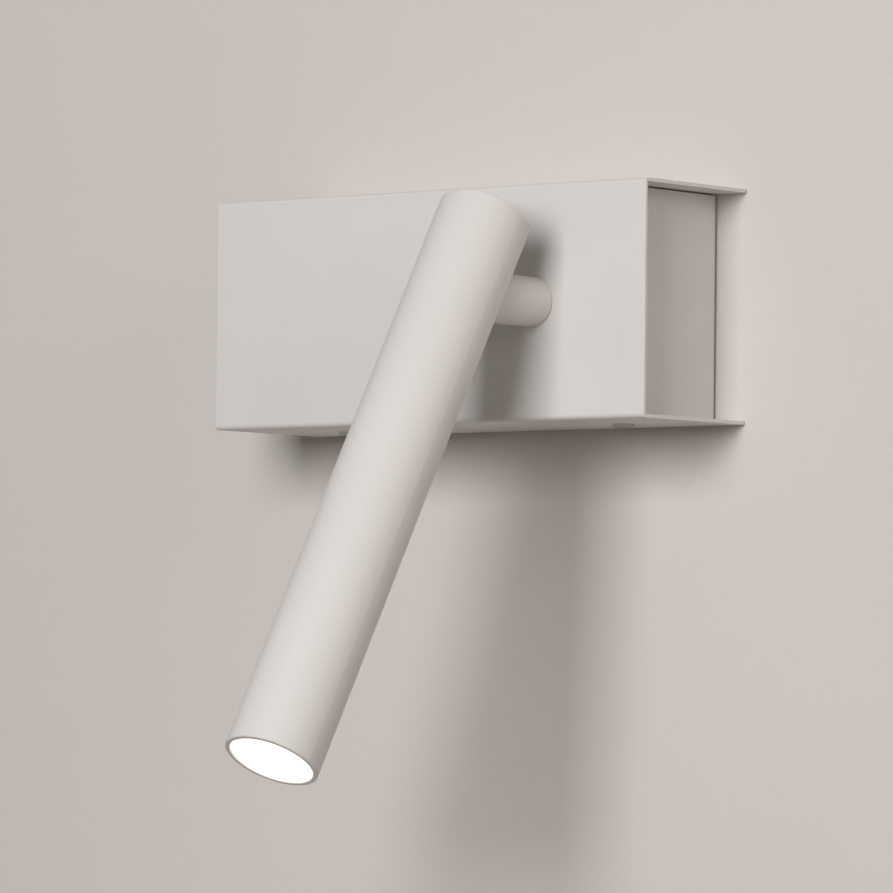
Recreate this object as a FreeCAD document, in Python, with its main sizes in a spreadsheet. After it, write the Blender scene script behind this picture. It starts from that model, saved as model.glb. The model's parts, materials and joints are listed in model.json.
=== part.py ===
"""Adjustable wall spotlight: a folded box on the wall, a swivelling arm and a tilting tube.

Millimetres. X runs along the wall, Y into the wall and Z up. The origin is the centre of the
box's back, on the wall. The head hangs at its rest tilt, as it leaves the factory.
"""
import FreeCAD, Part
import math
import os
import re
import Sketcher
from FreeCAD import Placement, Rotation, Vector

doc = FreeCAD.newDocument("wall_spotlight")

# Driving dimensions, in millimetres and degrees
DRIVING = [
    ("cover_width", 180, "front cover, along the wall"),
    ("cover_height", 76, "front cover, up the wall"),
    ("cover_depth", 53, "front cover, from the wall to its face"),
    ("cover_sheet", 1.2, "thickness of the cover's sheet"),
    ("cover_bend", 0.4, "inner radius of the cover's folds"),
    ("end_inset", 11, "from the cover's end to the chassis end wall"),
    ("chassis_sheet", 1.5, "thickness of the chassis sheet"),
    ("chassis_bend", 1.2, "inner radius of the chassis folds"),
    ("chassis_gap", 0.5, "chassis to the cover's flanges"),
    ("face_gap", 0.3, "chassis end wall to the cover's face"),
    ("tab_width", 18, "cover tab of the chassis"),
    ("tab_reach", 32, "cover tab, out from the wall"),
    ("tab_corner", 3, "cut corner of a cover tab"),
    ("slot_from_end", 24, "wall slots, from the cover's ends"),
    ("slot_from_edge", 14, "wall slots, from the cover's top and bottom"),
    ("slot_width", 5, "wall slot"),
    ("slot_length", 10, "wall slot, end to end"),
    ("screw_from_end", 32, "cover screws, from the cover's ends"),
    ("screw_from_wall", 22, "cover screws, out from the wall"),
    ("screw_radius", 2, "thread of a cover screw, M4"),
    ("screw_length", 8, "cover screw under its head"),
    ("screw_head_radius", 3.5, "low head of a cover screw"),
    ("screw_head_height", 1.2, "low head of a cover screw"),
    ("recess_width", 1, "cross recess, one arm"),
    ("recess_span", 3.6, "cross recess, across"),
    ("recess_depth", 1, "cross recess"),
    ("screw_clearance", 0.3, "round a screw in its clear hole"),
    ("thread_gap", 0.05, "round a thread in its tapped hole"),
    ("press_gap", 0.02, "round a pressed-in part"),
    ("nut_shank_radius", 2.9, "press nut, in the tab"),
    ("nut_head_radius", 4, "press nut, inside the tab"),
    ("nut_head_height", 3, "press nut, inside the tab"),
    ("entry_from_top", 18, "cable entry below the cover's top"),
    ("entry_radius", 4, "bore of the cable grommet"),
    ("grommet_neck", 8, "grommet radius in the chassis"),
    ("grommet_flange", 11, "grommet radius inside the chassis"),
    ("grommet_lip", 2, "height of the grommet's flange"),
    ("grommet_collar", 6, "grommet radius at its inner end"),
    ("grommet_rise", 2.5, "height of the grommet's collar"),
    ("driver_length", 72, "driver case, along the wall"),
    ("driver_thickness", 24, "driver case, out from the chassis"),
    ("driver_x", -16, "centre of the driver case"),
    ("driver_gap", 3.5, "driver case to the terminal block"),
    ("screw_tip_gap", 1, "driver case to the cover screws' tips"),
    ("driver_corner", 3, "corner radius of the driver case"),
    ("driver_edge", 1, "edge radius of the driver case"),
    ("ear_length", 6, "driver's fixing ear"),
    ("ear_width", 16, "driver's fixing ear"),
    ("ear_thickness", 3, "driver's fixing ear"),
    ("small_screw_radius", 1.5, "thread of a small screw, M3"),
    ("small_head_radius", 2.8, "head of a small screw"),
    ("small_head_height", 2, "head of a small screw"),
    ("block_length", 18, "terminal block, along the wall"),
    ("block_width", 22, "terminal block, up the wall"),
    ("block_height", 16, "terminal block, out from the chassis"),
    ("block_x", -26, "centre of the terminal block"),
    ("block_from_top", 7.5, "terminal block below the cover's top"),
    ("block_edge", 1, "chamfer of the terminal block"),
    ("pole_pitch", 7, "terminal block, pole to pole"),
    ("column_pitch", 9, "terminal block, clamp to clamp"),
    ("wire_hole", 1.3, "wire hole radius of the terminal block"),
    ("wire_level", 8.5, "wire holes, out from the wall"),
    ("well_radius", 2.1, "screw well of the terminal block"),
    ("well_depth", 6.5, "screw well of the terminal block"),
    ("clamp_height", 3.5, "clamp screw of the terminal block"),
    ("clamp_slot", 0.6, "slot of a clamp screw"),
    ("peg_radius", 1.5, "snap peg of the terminal block"),
    ("peg_pitch", 14, "snap pegs of the terminal block"),
    ("earth_from_block", 30, "earth screw, left of the terminal block"),
    ("earth_from_top", 8, "earth screw below the cover's top"),
    ("lug_radius", 3.8, "ring of the earth lug"),
    ("lug_sheet", 0.8, "sheet of the earth lug"),
    ("lug_reach", 7.5, "earth lug, screw to barrel"),
    ("lug_neck", 3, "width of the earth lug's neck"),
    ("barrel_radius", 1.6, "barrel of the earth lug"),
    ("barrel_length", 4, "barrel of the earth lug"),
    ("wire_radius", 0.9, "single insulated wire"),
    ("wire_step", 4, "supply wires, one from the other"),
    ("lead_radius", 1.5, "sheathed lead to the lamp"),
    ("lead_gap", 0.3, "between lead ends at a turning joint"),
    ("lead_end_round", 1.4, "round end of the head's lead"),
    ("wire_hold", 3, "wire inside a terminal or a barrel"),
    ("lead_exit", 4, "lead out of the driver, above its centre"),
    ("lead_level", 13, "lead out of the driver, out from the wall"),
    ("lead_run", 8, "lead out of the driver, before its first bend"),
    ("stub_from_end", 45, "swivel axis, from the cover's right end"),
    ("stub_radius", 8, "arm stub"),
    ("pivot_reach", 40, "tilt axis, out from the cover's face"),
    ("stub_edge", 0.3, "chamfer of the arm stub"),
    ("swivel_stop_radius", 12, "stop stud, from the swivel axis"),
    ("stop_stud_radius", 1.2, "stop stud"),
    ("stop_stud_length", 3.5, "stop stud"),
    ("bush_flange", 7.6, "swivel bush radius under the stub"),
    ("bush_sheet", 0.5, "swivel bush flange and glide washer"),
    ("bush_wall", 0.55, "swivel bush in the cover's hole"),
    ("running_gap", 0.05, "round a part that turns"),
    ("glide_radius", 10.4, "glide washer"),
    ("stop_washer_radius", 10, "stop washer"),
    ("stop_washer_sheet", 1.5, "stop washer"),
    ("stop_lug_reach", 13.5, "stop washer's lug, from the axis"),
    ("stop_lug_width", 2.4, "stop washer's lug"),
    ("spring_radius", 9, "disc spring"),
    ("spring_sheet", 0.7, "disc spring"),
    ("spring_rise", 0.5, "disc spring, cone height"),
    ("nut_flat", 7, "swivel nut, centre to flat"),
    ("nut_height", 4, "swivel nut"),
    ("nipple_radius", 5, "swivel nipple, M10 thread"),
    ("nipple_bore", 3.4, "swivel nipple"),
    ("nipple_tail", 1.5, "nipple past its last nut"),
    ("nipple_hold", 8.5, "nipple in the stub"),
    ("stub_bore", 3, "bore of the stub past the nipple"),
    ("tongue_width", 10, "tongue at the stub's end"),
    ("tongue_radius", 7.5, "round end of the tongue"),
    ("tongue_bore", 1.9, "lead's way through the tongue"),
    ("shoulder_gap", 0.5, "fork ear to the stub's shoulder"),
    ("pivot_radius", 2.5, "shoulder of a pivot screw"),
    ("pivot_thread", 2, "thread of a pivot screw"),
    ("pivot_tip", 2.3, "pivot screw's tip, from the lead's axis"),
    ("pivot_head_radius", 3.6, "head of a pivot screw"),
    ("pivot_head_height", 1.6, "head of a pivot screw"),
    ("socket_radius", 1.4, "hexagon socket, centre to corner"),
    ("socket_depth", 1, "hexagon socket"),
    ("washer_radius", 6.5, "friction washer"),
    ("washer_sheet", 0.5, "friction washer"),
    ("ear_radius", 8, "round end of a fork ear"),
    ("fork_ear", 3.8, "thickness of a fork ear"),
    ("fork_top", 9, "fork's plug below the tilt axis"),
    ("fork_plug", 14, "height of the fork's plug"),
    ("fork_bore", 2.4, "lead's way through the fork"),
    ("rest_tilt", 30, "degrees from straight down at rest"),
    ("head_radius", 15, "head tube"),
    ("head_wall", 1.5, "head tube"),
    ("head_above", 30, "head tube above the tilt axis"),
    ("head_below", 170, "head tube below the tilt axis"),
    ("head_edge", 0.25, "chamfer of the tube's ends"),
    ("fit_gap", 0.05, "round a part pushed into the tube"),
    ("slot_gap", 0.3, "each side of the stub in the tube's slot"),
    ("cap_height", 3, "top cap"),
    ("grub_radius", 2, "grub screw"),
    ("grub_length", 6, "grub screw"),
    ("grub_sink", 0.4, "grub screw below the tube's surface"),
    ("grub_spacing", 7, "the fork's two grub screws"),
    ("diffuser_sink", 0.3, "diffuser inside the tube's end"),
    ("diffuser_height", 2, "diffuser"),
    ("diffuser_gap", 0.3, "round the diffuser"),
    ("holder_height", 14.6, "optic holder"),
    ("holder_wall", 1.6, "optic holder"),
    ("holder_floor", 1.2, "floor of the optic holder"),
    ("holder_foot", 2, "optic holder below its floor"),
    ("holder_window", 4.9, "light's way through the holder's floor"),
    ("seal_radius", 0.45, "section of the seal ring"),
    ("seal_level", 6, "seal ring, from the diffuser"),
    ("seal_gap", 0.1, "round the seal ring in its groove"),
    ("optic_gap", 0.1, "round the optic lens"),
    ("optic_throat", 6.2, "optic lens at its narrow end"),
    ("optic_pocket", 3, "hollow of the optic over the emitter"),
    ("optic_pocket_radius", 3.4, "hollow of the optic over the emitter"),
    ("board_radius", 12.9, "circuit board"),
    ("board_height", 1.6, "circuit board"),
    ("emitter_radius", 4.5, "light-emitting disc"),
    ("emitter_height", 0.8, "light-emitting disc"),
    ("emitter_edge", 0.3, "chamfer of the light-emitting disc"),
    ("board_screw_offset", 8, "board screws, from the axis"),
    ("board_screw_radius", 1, "board screw, M2"),
    ("board_head_radius", 1.8, "head of a board screw"),
    ("board_head_height", 1.1, "head of a board screw"),
    ("board_screw_length", 5, "board screw under its head"),
    ("pad_height", 0.3, "thermal pad"),
    ("pad_radius", 9.5, "thermal pad"),
    ("sink_base", 7, "heat sink's base"),
    ("sink_height", 31, "heat sink's fins"),
    ("sink_core", 5, "heat sink's core"),
    ("sink_bore", 2.2, "lead's way through the heat sink"),
    ("fin_radius", 12.9, "heat sink's fins, from the axis"),
    ("fin_sheet", 1.2, "heat sink's fin"),
    ("overrun", 1, "how far cuts run past the material"),
]

# Sizes that follow from the driving dimensions, as formulas
DERIVED = [
    ("inner_depth", "cover_depth - cover_sheet"),
    ("half_height", "cover_height / 2"),
    ("chassis_half", "cover_width / 2 - end_inset"),
    ("chassis_height", "cover_height - 2 * (cover_sheet + chassis_gap)"),
    ("chassis_reach", "inner_depth - face_gap"),
    ("chassis_inside", "chassis_half - chassis_sheet"),
    ("slot_run", "slot_length - slot_width"),
    ("slot_across", "cover_width / 2 - slot_from_end"),
    ("slot_up", "half_height - slot_from_edge"),
    ("screw_spacing", "cover_width - 2 * screw_from_end"),
    ("stub_x", "cover_width / 2 - stub_from_end"),
    ("entry_height", "half_height - entry_from_top"),
    ("block_z", "half_height - block_from_top - block_width / 2"),
    ("driver_low", "screw_length + screw_tip_gap - half_height"),
    ("driver_high", "block_z - block_width / 2 - driver_gap"),
    ("driver_height", "driver_high - driver_low"),
    ("driver_z", "(driver_high + driver_low) / 2"),
    ("earth_x", "block_x - earth_from_block"),
    ("earth_z", "half_height - earth_from_top"),
    ("lead_exit_z", "driver_z + lead_exit"),
    ("driver_pitch", "driver_length + ear_length"),
    ("block_top", "chassis_sheet + block_height"),
    ("bush_bore", "nipple_radius + running_gap"),
    ("bush_sleeve", "bush_bore + bush_wall"),
    ("stub_start", "cover_depth + bush_sheet"),
    ("stop_start", "inner_depth - bush_sheet - stop_washer_sheet"),
    ("spring_start", "stop_start - spring_sheet - spring_rise"),
    ("nuts_start", "spring_start - 2 * nut_height"),
    ("nipple_start", "nuts_start - nipple_tail"),
    ("nipple_end", "stub_start + nipple_hold"),
    ("pivot_depth", "cover_depth + pivot_reach"),
    ("shoulder", "ear_radius + shoulder_gap"),
    ("ear_start", "tongue_width / 2 + washer_sheet"),
    ("ear_end", "ear_start + fork_ear"),
    ("tube_bore", "head_radius - head_wall"),
    ("plug_radius", "tube_bore - fit_gap"),
    ("notch", "stub_radius + slot_gap"),
    ("diffuser_back", "-head_below + diffuser_sink + diffuser_height"),
    ("board_face", "diffuser_back + holder_height"),
    ("board_back", "board_face + board_height"),
    ("sink_start", "board_back + pad_height"),
    ("sink_top", "sink_start + sink_base"),
    ("holder_radius", "tube_bore - diffuser_gap"),
    ("holder_bore", "holder_radius - holder_wall"),
    ("optic_start", "board_face - holder_foot - holder_floor"),
    ("optic_mouth", "holder_bore - optic_gap"),
    ("seal_centre", "plug_radius - seal_radius"),
    ("seal_height", "diffuser_back + seal_level"),
    ("groove_half", "seal_radius + seal_gap"),
    ("groove_bottom", "seal_centre - seal_radius - seal_gap"),
    ("grub_outer", "head_radius - grub_sink"),
    ("grub_inner", "grub_outer - grub_length"),
    ("fork_grub", "-fork_top - fork_plug / 2 - grub_spacing / 2"),
    ("sink_grub", "sink_start + sink_base / 2"),
]

FIN_COUNT = 12
POLE_COUNT = 3
CROWN_SHARE = 0.72
CROWN_RIM_SHARE = 0.45
OPTIC_SHARES = [(0.0, 0.0), (0.30, 0.42), (0.62, 0.76), (0.88, 0.96), (1.0, 1.0)]
LOOP_SHARES = (0.36, 0.54)
ARC_SHARE = 0.45
VOLUME_TOLERANCE = 0.01
SAME = 1e-4


def fill_sheet(name, rows):
    """Make a spreadsheet with one aliased value in each row."""
    sheet = doc.addObject("Spreadsheet::Sheet", name)
    for row, (alias, content, meaning) in enumerate(rows, start=1):
        sheet.set(f"A{row}", meaning)
        sheet.set(f"B{row}", content)
        sheet.setAlias(f"B{row}", alias)
    doc.recompute()
    return sheet


def formula(text):
    """Point each size named in a formula at the cell that holds it."""
    return re.sub(r"[a-z]\w*", lambda word: HOMES.get(word.group(), word.group()), text)


HOMES = {alias: f"Sizes.{alias}" for alias, _, _ in DRIVING}
sizes = fill_sheet("Sizes", [(alias, str(number), note) for alias, number, note in DRIVING])
HOMES.update({alias: f"Derived.{alias}" for alias, _ in DERIVED})
derived = fill_sheet("Derived", [(alias, "=" + formula(text), text) for alias, text in DERIVED])


def size(alias):
    """Read one size from its sheet."""
    sheet = sizes if HOMES[alias].startswith("Sizes.") else derived
    return float(getattr(sheet, alias))


def bind(item, **formulas):
    """Bind properties of an object to formulas of named sizes."""
    for prop, text in formulas.items():
        item.setExpression(prop.replace("__", "."), formula(text))


# Places that the pieces are built in
def place(item, across="0", out="0", up="0", turn=0, axis=Vector(1, 0, 0)):
    """Stand a piece on the wall: across it, out from it and up it."""
    item.Placement = Placement(Vector(), Rotation(axis, turn))
    bind(item, Placement__Base__x=across, Placement__Base__y=f"-({out})", Placement__Base__z=up)


def place_facing(item, across="0", up="0"):
    """Turn a piece so that its own +Z points out from the wall and its +Y up."""
    place(item, across=across, up=up, turn=90)


def place_on_head(item, across="stub_x"):
    """Put a piece on the tilt axis, with its own +Z along the head to the cap."""
    place(item, across=across, out="pivot_depth", turn=size("rest_tilt"), axis=Vector(-1, 0, 0))
    bind(item, Placement__Rotation__Angle="rest_tilt")


# Bodies, sketches and features
def new_body(label):
    body = doc.addObject("PartDesign::Body", label)
    body.Label = label
    body.AllowCompound = True
    return body


def origin_feature(body, role):
    return next(item for item in body.Origin.OriginFeatures if item.Role == role)


def new_sketch(body, role, offset="0"):
    """Start a sketch on one of the body's own planes, moved along the plane's normal."""
    sketch = body.newObject("Sketcher::SketchObject", body.Label + "_sketch")
    sketch.AttachmentSupport = [(origin_feature(body, role), "")]
    sketch.MapMode = "FlatFace"
    if offset != "0":
        bind(sketch, AttachmentOffset__Base__z=offset)
    return sketch


def pin_point(sketch, shape_index, point_index, x, y):
    """Fix a sketch point by two formulas from the sketch's origin."""
    for kind, axis_line, text in (("DistanceX", -2, x), ("DistanceY", -1, y)):
        if text == "0":
            sketch.addConstraint(
                Sketcher.Constraint("PointOnObject", shape_index, point_index, axis_line))
            continue
        number = sketch.addConstraint(
            Sketcher.Constraint(kind, -1, 1, shape_index, point_index, 1.0))
        sketch.setExpression(f"Constraints[{number}]", formula(text))


def outline(sketch, points):
    """Draw a closed outline through points given as pairs of formulas."""
    count = len(points)
    angles = [2 * math.pi * index / count for index in range(count)]
    corners = [Vector(math.cos(angle), math.sin(angle), 0) for angle in angles]
    first = sketch.GeometryCount
    for index in range(count):
        sketch.addGeometry(Part.LineSegment(corners[index], corners[(index + 1) % count]))
    for index, (x, y) in enumerate(points):
        before = first + (index - 1) % count
        sketch.addConstraint(Sketcher.Constraint("Coincident", before, 2, first + index, 1))
        pin_point(sketch, first + index, 1, x, y)


def rectangle(sketch, x_low, x_high, y_low, y_high):
    outline(sketch, [(x_low, y_low), (x_high, y_low), (x_high, y_high), (x_low, y_high)])


def circle(sketch, radius, x="0", y="0"):
    index = sketch.addGeometry(Part.Circle(Vector(), Vector(0, 0, 1), 1.0))
    pin_point(sketch, index, 3, x, y)
    number = sketch.addConstraint(Sketcher.Constraint("Radius", index, 1.0))
    sketch.setExpression(f"Constraints[{number}]", formula(radius))


def extrude(body, kind, sketch, length, middle=False, back=False):
    """Pad or pocket a sketch; back turns the direction round."""
    feature = body.newObject("PartDesign::" + kind, f"{body.Label}_{kind.lower()}")
    feature.Profile = sketch
    feature.SideType = "Symmetric" if middle else "One side"
    feature.Reversed = back
    bind(feature, Length=length)
    return feature


def pad(body, sketch, length, **options):
    return extrude(body, "Pad", sketch, length, **options)


def pocket(body, sketch, length, **options):
    return extrude(body, "Pocket", sketch, length, **options)


def spin(body, kind, sketch, axis="V_Axis"):
    """Revolve or groove a sketch right round one of its own axes."""
    feature = body.newObject("PartDesign::" + kind, f"{body.Label}_{kind.lower()}")
    feature.Profile = sketch
    feature.ReferenceAxis = (sketch, [axis])
    return feature


def turned(body, points, kind="Revolution"):
    """Turn a profile of radius and height about the body's own Z."""
    sketch = new_sketch(body, "XZ_Plane")
    outline(sketch, points)
    return spin(body, kind, sketch)


def drill(body, radius, start, depth, x="0", y="0", role="XY_Plane"):
    """Drill a round hole against the plane's normal, from a start level."""
    sketch = new_sketch(body, role, start)
    circle(sketch, radius, x, y)
    return pocket(body, sketch, depth)


def repeat(body, features, axis, length, count=2):
    """Repeat features in a line, over a whole length."""
    pattern = body.newObject("PartDesign::LinearPattern", body.Label + "_row")
    pattern.Originals = features
    pattern.Direction = (origin_feature(body, axis), [""])
    pattern.Occurrences = count
    bind(pattern, Length=length)
    body.Tip = pattern
    return pattern


def mirror(body, features, role):
    pattern = body.newObject("PartDesign::Mirrored", body.Label + "_mirror")
    pattern.Originals = features
    pattern.MirrorPlane = (origin_feature(body, role), [""])
    body.Tip = pattern
    return pattern


def dress(body, kind, base, chosen, **formulas):
    """Fillet or chamfer the edges of a feature whose middle point passes a test."""
    doc.recompute()
    names = []
    for number, edge in enumerate(base.Shape.Edges, start=1):
        middle = edge.valueAt((edge.FirstParameter + edge.LastParameter) / 2)
        if chosen(edge, middle):
            names.append(f"Edge{number}")
    if not names:
        raise RuntimeError(f"{body.Label}: no edge found to dress")
    feature = body.newObject("PartDesign::" + kind, f"{body.Label}_{kind.lower()}")
    feature.Base = (base, names)
    bind(feature, **formulas)
    return feature


def near(one, other):
    return abs(one - other) < SAME


def hexagon(sketch, flat):
    """Draw a hexagon by its distance from centre to flat."""
    corner = f"{flat} / cos(30)"
    outline(sketch, [
        (f"{corner}", "0"), (f"{corner} / 2", flat), (f"-{corner} / 2", flat),
        (f"-{corner}", "0"), (f"-{corner} / 2", f"-{flat}"), (f"{corner} / 2", f"-{flat}")])


def cross_recess(body, level, **options):
    """Cut a cross recess into a screw head whose top is at a level."""
    cuts = []
    for across, along in (("recess_span", "recess_width"), ("recess_width", "recess_span")):
        sketch = new_sketch(body, "XY_Plane", level)
        rectangle(sketch, f"-{across} / 2", f"{across} / 2", f"-{along} / 2", f"{along} / 2")
        cuts.append(pocket(body, sketch, "recess_depth", **options))
    return cuts


def pan_screw(label, radius, length, head_radius, head_height):
    """Make a pan-head screw with its head on top of local Z = 0."""
    body = new_body(label)
    shape = turned(body, [
        ("0", head_height), (f"{CROWN_SHARE} * {head_radius}", head_height),
        (head_radius, f"{CROWN_RIM_SHARE} * {head_height}"), (head_radius, "0"),
        (radius, "0"), (radius, f"-({length})"), ("0", f"-({length})")])
    return body, [shape]


def rod(label, radius, start, end):
    """Make a round rod along the body's own Z."""
    body = new_body(label)
    sketch = new_sketch(body, "XY_Plane", start)
    circle(sketch, radius)
    return body, pad(body, sketch, f"({end}) - ({start})")


# Leads: straight runs joined by tangent arcs
def spot(across, out, up):
    return Vector(across, -out, up)


def tangent_path(points):
    """Join points by straight runs and by arcs as large as the runs allow."""
    edges = []
    radii = []
    start = points[0]
    for before, corner, after in zip(points, points[1:], points[2:]):
        back = (before - corner).normalize()
        ahead = (after - corner).normalize()
        turn = math.pi - back.getAngle(ahead)
        reach = ARC_SHARE * min(corner.distanceToPoint(before), corner.distanceToPoint(after))
        radius = reach / math.tan(turn / 2)
        bisector = (back + ahead).normalize()
        middle = corner + bisector * (radius / math.cos(turn / 2) - radius)
        first, last = corner + back * reach, corner + ahead * reach
        edges.append(Part.LineSegment(start, first).toShape())
        edges.append(Part.Arc(first, middle, last).toShape())
        radii.append(radius)
        start = last
    edges.append(Part.LineSegment(start, points[-1]).toShape())
    return Part.Wire(edges), radii


def tube_along(label, points, radius):
    """Sweep a round section along a path and check its volume."""
    path, radii = tangent_path(points)
    section = Part.Wire([Part.Circle(points[0], points[1] - points[0], radius).toShape()])
    tube = path.makePipeShell([section], True, False)
    expected = math.pi * radius ** 2 * path.Length
    if abs(tube.Volume - expected) > VOLUME_TOLERANCE * expected:
        raise RuntimeError(f"{label}: the tube's volume is off")
    print(label, "radii", [round(value, 1) for value in radii])
    return tube


def make_leads(label, tubes):
    """Keep one lead, or a pair, as one piece."""
    item = doc.addObject("Part::Feature", label)
    item.Label = label
    item.Shape = tubes[0] if len(tubes) == 1 else Part.makeCompound(tubes)
    item.Placement = Placement()
    return item


# Front cover: a folded channel, open at both ends
def make_front_cover():
    body = new_body("front_cover")
    section = new_sketch(body, "YZ_Plane")
    inside = "half_height - cover_sheet"
    outline(section, [
        ("0", "half_height"), ("-cover_depth", "half_height"),
        ("-cover_depth", "-half_height"), ("0", "-half_height"),
        ("0", f"-({inside})"), ("-inner_depth", f"-({inside})"),
        ("-inner_depth", inside), ("0", inside)])
    channel = pad(body, section, "cover_width", middle=True)
    folded = dress(
        body, "Fillet", channel,
        lambda edge, middle: near(middle.x, 0) and near(middle.y, -size("cover_depth")),
        Radius="cover_bend + cover_sheet")
    dress(
        body, "Fillet", folded,
        lambda edge, middle: near(middle.x, 0) and near(middle.y, -size("inner_depth")),
        Radius="cover_bend")
    swivel = new_sketch(body, "XZ_Plane", "cover_depth")
    circle(swivel, "bush_sleeve + press_gap", x="stub_x")
    pocket(body, swivel, "cover_sheet + overrun")
    screws = new_sketch(body, "XY_Plane", f"overrun - ({inside})")
    for side in ("-", ""):
        circle(screws, "screw_radius + screw_clearance",
               x=f"{side}screw_spacing / 2", y="-screw_from_wall")
    pocket(body, screws, "cover_sheet + 2 * overrun")


# Mounting chassis: a back plate with two end walls and four tabs for the cover
def make_mounting_chassis():
    body = new_body("mounting_chassis")
    section = new_sketch(body, "XY_Plane")
    outline(section, [
        ("-chassis_half", "0"), ("chassis_half", "0"),
        ("chassis_half", "-chassis_reach"), ("chassis_inside", "-chassis_reach"),
        ("chassis_inside", "-chassis_sheet"), ("-chassis_inside", "-chassis_sheet"),
        ("-chassis_inside", "-chassis_reach"), ("-chassis_half", "-chassis_reach")])
    channel = pad(body, section, "chassis_height", middle=True)
    half, sheet = size("chassis_half"), size("chassis_sheet")
    folded = dress(
        body, "Fillet", channel,
        lambda edge, middle: near(middle.z, 0) and near(middle.y, 0) and near(abs(middle.x), half),
        Radius="chassis_bend + chassis_sheet")
    dress(
        body, "Fillet", folded,
        lambda edge, middle: (near(middle.z, 0) and near(middle.y, -sheet)
                              and near(abs(middle.x), half - sheet)),
        Radius="chassis_bend")
    tabs = new_sketch(body, "XY_Plane", "-chassis_height / 2")
    for side in ("-", ""):
        centre = f"{side}screw_spacing / 2"
        left, right = f"{centre} - tab_width / 2", f"{centre} + tab_width / 2"
        outline(tabs, [
            (left, "0"), (left, "tab_corner - tab_reach"), (f"{left} + tab_corner", "-tab_reach"),
            (f"{right} - tab_corner", "-tab_reach"), (right, "tab_corner - tab_reach"),
            (right, "0")])
    mirror(body, [pad(body, tabs, "chassis_sheet")], "XY_Plane")
    nuts = new_sketch(body, "XY_Plane", "overrun - chassis_height / 2 + chassis_sheet")
    for side in ("-", ""):
        circle(nuts, "nut_shank_radius + press_gap",
               x=f"{side}screw_spacing / 2", y="-screw_from_wall")
    pocket(body, nuts, "chassis_sheet + 2 * overrun")
    through = "chassis_sheet + 2 * overrun"
    level = "chassis_sheet + overrun"
    slots = new_sketch(body, "XZ_Plane", level)
    slot_ends = new_sketch(body, "XZ_Plane", level)
    other_ends = new_sketch(body, "XZ_Plane", level)
    for side in ("-", ""):
        for way in ("-", ""):
            x, y = f"{side}slot_across", f"{way}slot_up"
            rectangle(slots, f"{x} - slot_run / 2", f"{x} + slot_run / 2",
                      f"{y} - slot_width / 2", f"{y} + slot_width / 2")
            circle(slot_ends, "slot_width / 2", x=f"{x} - slot_run / 2", y=y)
            circle(other_ends, "slot_width / 2", x=f"{x} + slot_run / 2", y=y)
    for sketch in (slots, slot_ends, other_ends):
        pocket(body, sketch, through)
    holes = new_sketch(body, "XZ_Plane", level)
    circle(holes, "grommet_neck + press_gap", y="entry_height")
    for side in ("-", "+"):
        circle(holes, "small_screw_radius + thread_gap",
               x=f"driver_x {side} driver_pitch / 2", y="driver_z")
        circle(holes, "peg_radius + thread_gap", x="block_x", y=f"block_z {side} peg_pitch / 2")
    circle(holes, "screw_radius + thread_gap", x="earth_x", y="earth_z")
    pocket(body, holes, through)


# Cover screws: up through the lower flange into the press nuts
def make_cover_screws():
    body, features = pan_screw(
        "cover_screws", "screw_radius", "screw_length", "screw_head_radius", "screw_head_height")
    features += cross_recess(body, "screw_head_height")
    repeat(body, features, "X_Axis", "screw_spacing")
    place(body, across="-screw_spacing / 2", out="screw_from_wall", up="-half_height", turn=180)


def make_press_nuts():
    body = new_body("press_nuts")
    bore = "screw_radius + thread_gap"
    top = "chassis_sheet + nut_head_height"
    nut = turned(body, [
        (bore, "0"), ("nut_shank_radius", "0"), ("nut_shank_radius", "chassis_sheet"),
        ("nut_head_radius", "chassis_sheet"), ("nut_head_radius", top), (bore, top)])
    repeat(body, [nut], "X_Axis", "screw_spacing")
    place(body, across="-screw_spacing / 2", out="screw_from_wall", up="-chassis_height / 2")


# Cable grommet: flush with the wall, flanged inside
def make_cable_grommet():
    body = new_body("cable_grommet")
    lip = "chassis_sheet + grommet_lip"
    turned(body, [
        ("entry_radius", "0"), ("grommet_neck", "0"), ("grommet_neck", "chassis_sheet"),
        ("grommet_flange", "chassis_sheet"), ("grommet_flange", lip), ("grommet_neck", lip),
        ("grommet_collar", f"{lip} + grommet_rise"), ("entry_radius", f"{lip} + grommet_rise")])
    place_facing(body, up="entry_height")


# Driver: a closed case with an ear at each end
def make_driver_case():
    body = new_body("driver_case")
    plan = new_sketch(body, "XY_Plane", "chassis_sheet")
    rectangle(plan, "-driver_length / 2", "driver_length / 2",
              "-driver_height / 2", "driver_height / 2")
    case = pad(body, plan, "driver_thickness")
    middle_level = size("chassis_sheet") + size("driver_thickness") / 2
    rounded = dress(
        body, "Fillet", case, lambda edge, middle: near(middle.z, middle_level),
        Radius="driver_corner")
    top_level = size("chassis_sheet") + size("driver_thickness")
    dress(
        body, "Fillet", rounded,
        lambda edge, middle: near(middle.z, top_level) and near(middle.x, 0),
        Radius="driver_edge")
    ears = new_sketch(body, "XY_Plane", "chassis_sheet")
    rectangle(ears, "-driver_length / 2 - ear_length", "driver_length / 2 + ear_length",
              "-ear_width / 2", "ear_width / 2")
    pad(body, ears, "ear_thickness")
    holes = new_sketch(body, "XY_Plane", "chassis_sheet + ear_thickness")
    for side in ("-", ""):
        circle(holes, "small_screw_radius + screw_clearance", x=f"{side}driver_pitch / 2")
    pocket(body, holes, "ear_thickness")
    place_facing(body, across="driver_x", up="driver_z")


def make_driver_screws():
    body, features = pan_screw(
        "driver_screws", "small_screw_radius", "ear_thickness + chassis_sheet",
        "small_head_radius", "small_head_height")
    repeat(body, features, "X_Axis", "driver_pitch")
    place(body, across="driver_x - driver_pitch / 2", out="chassis_sheet + ear_thickness",
          up="driver_z", turn=90)


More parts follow.
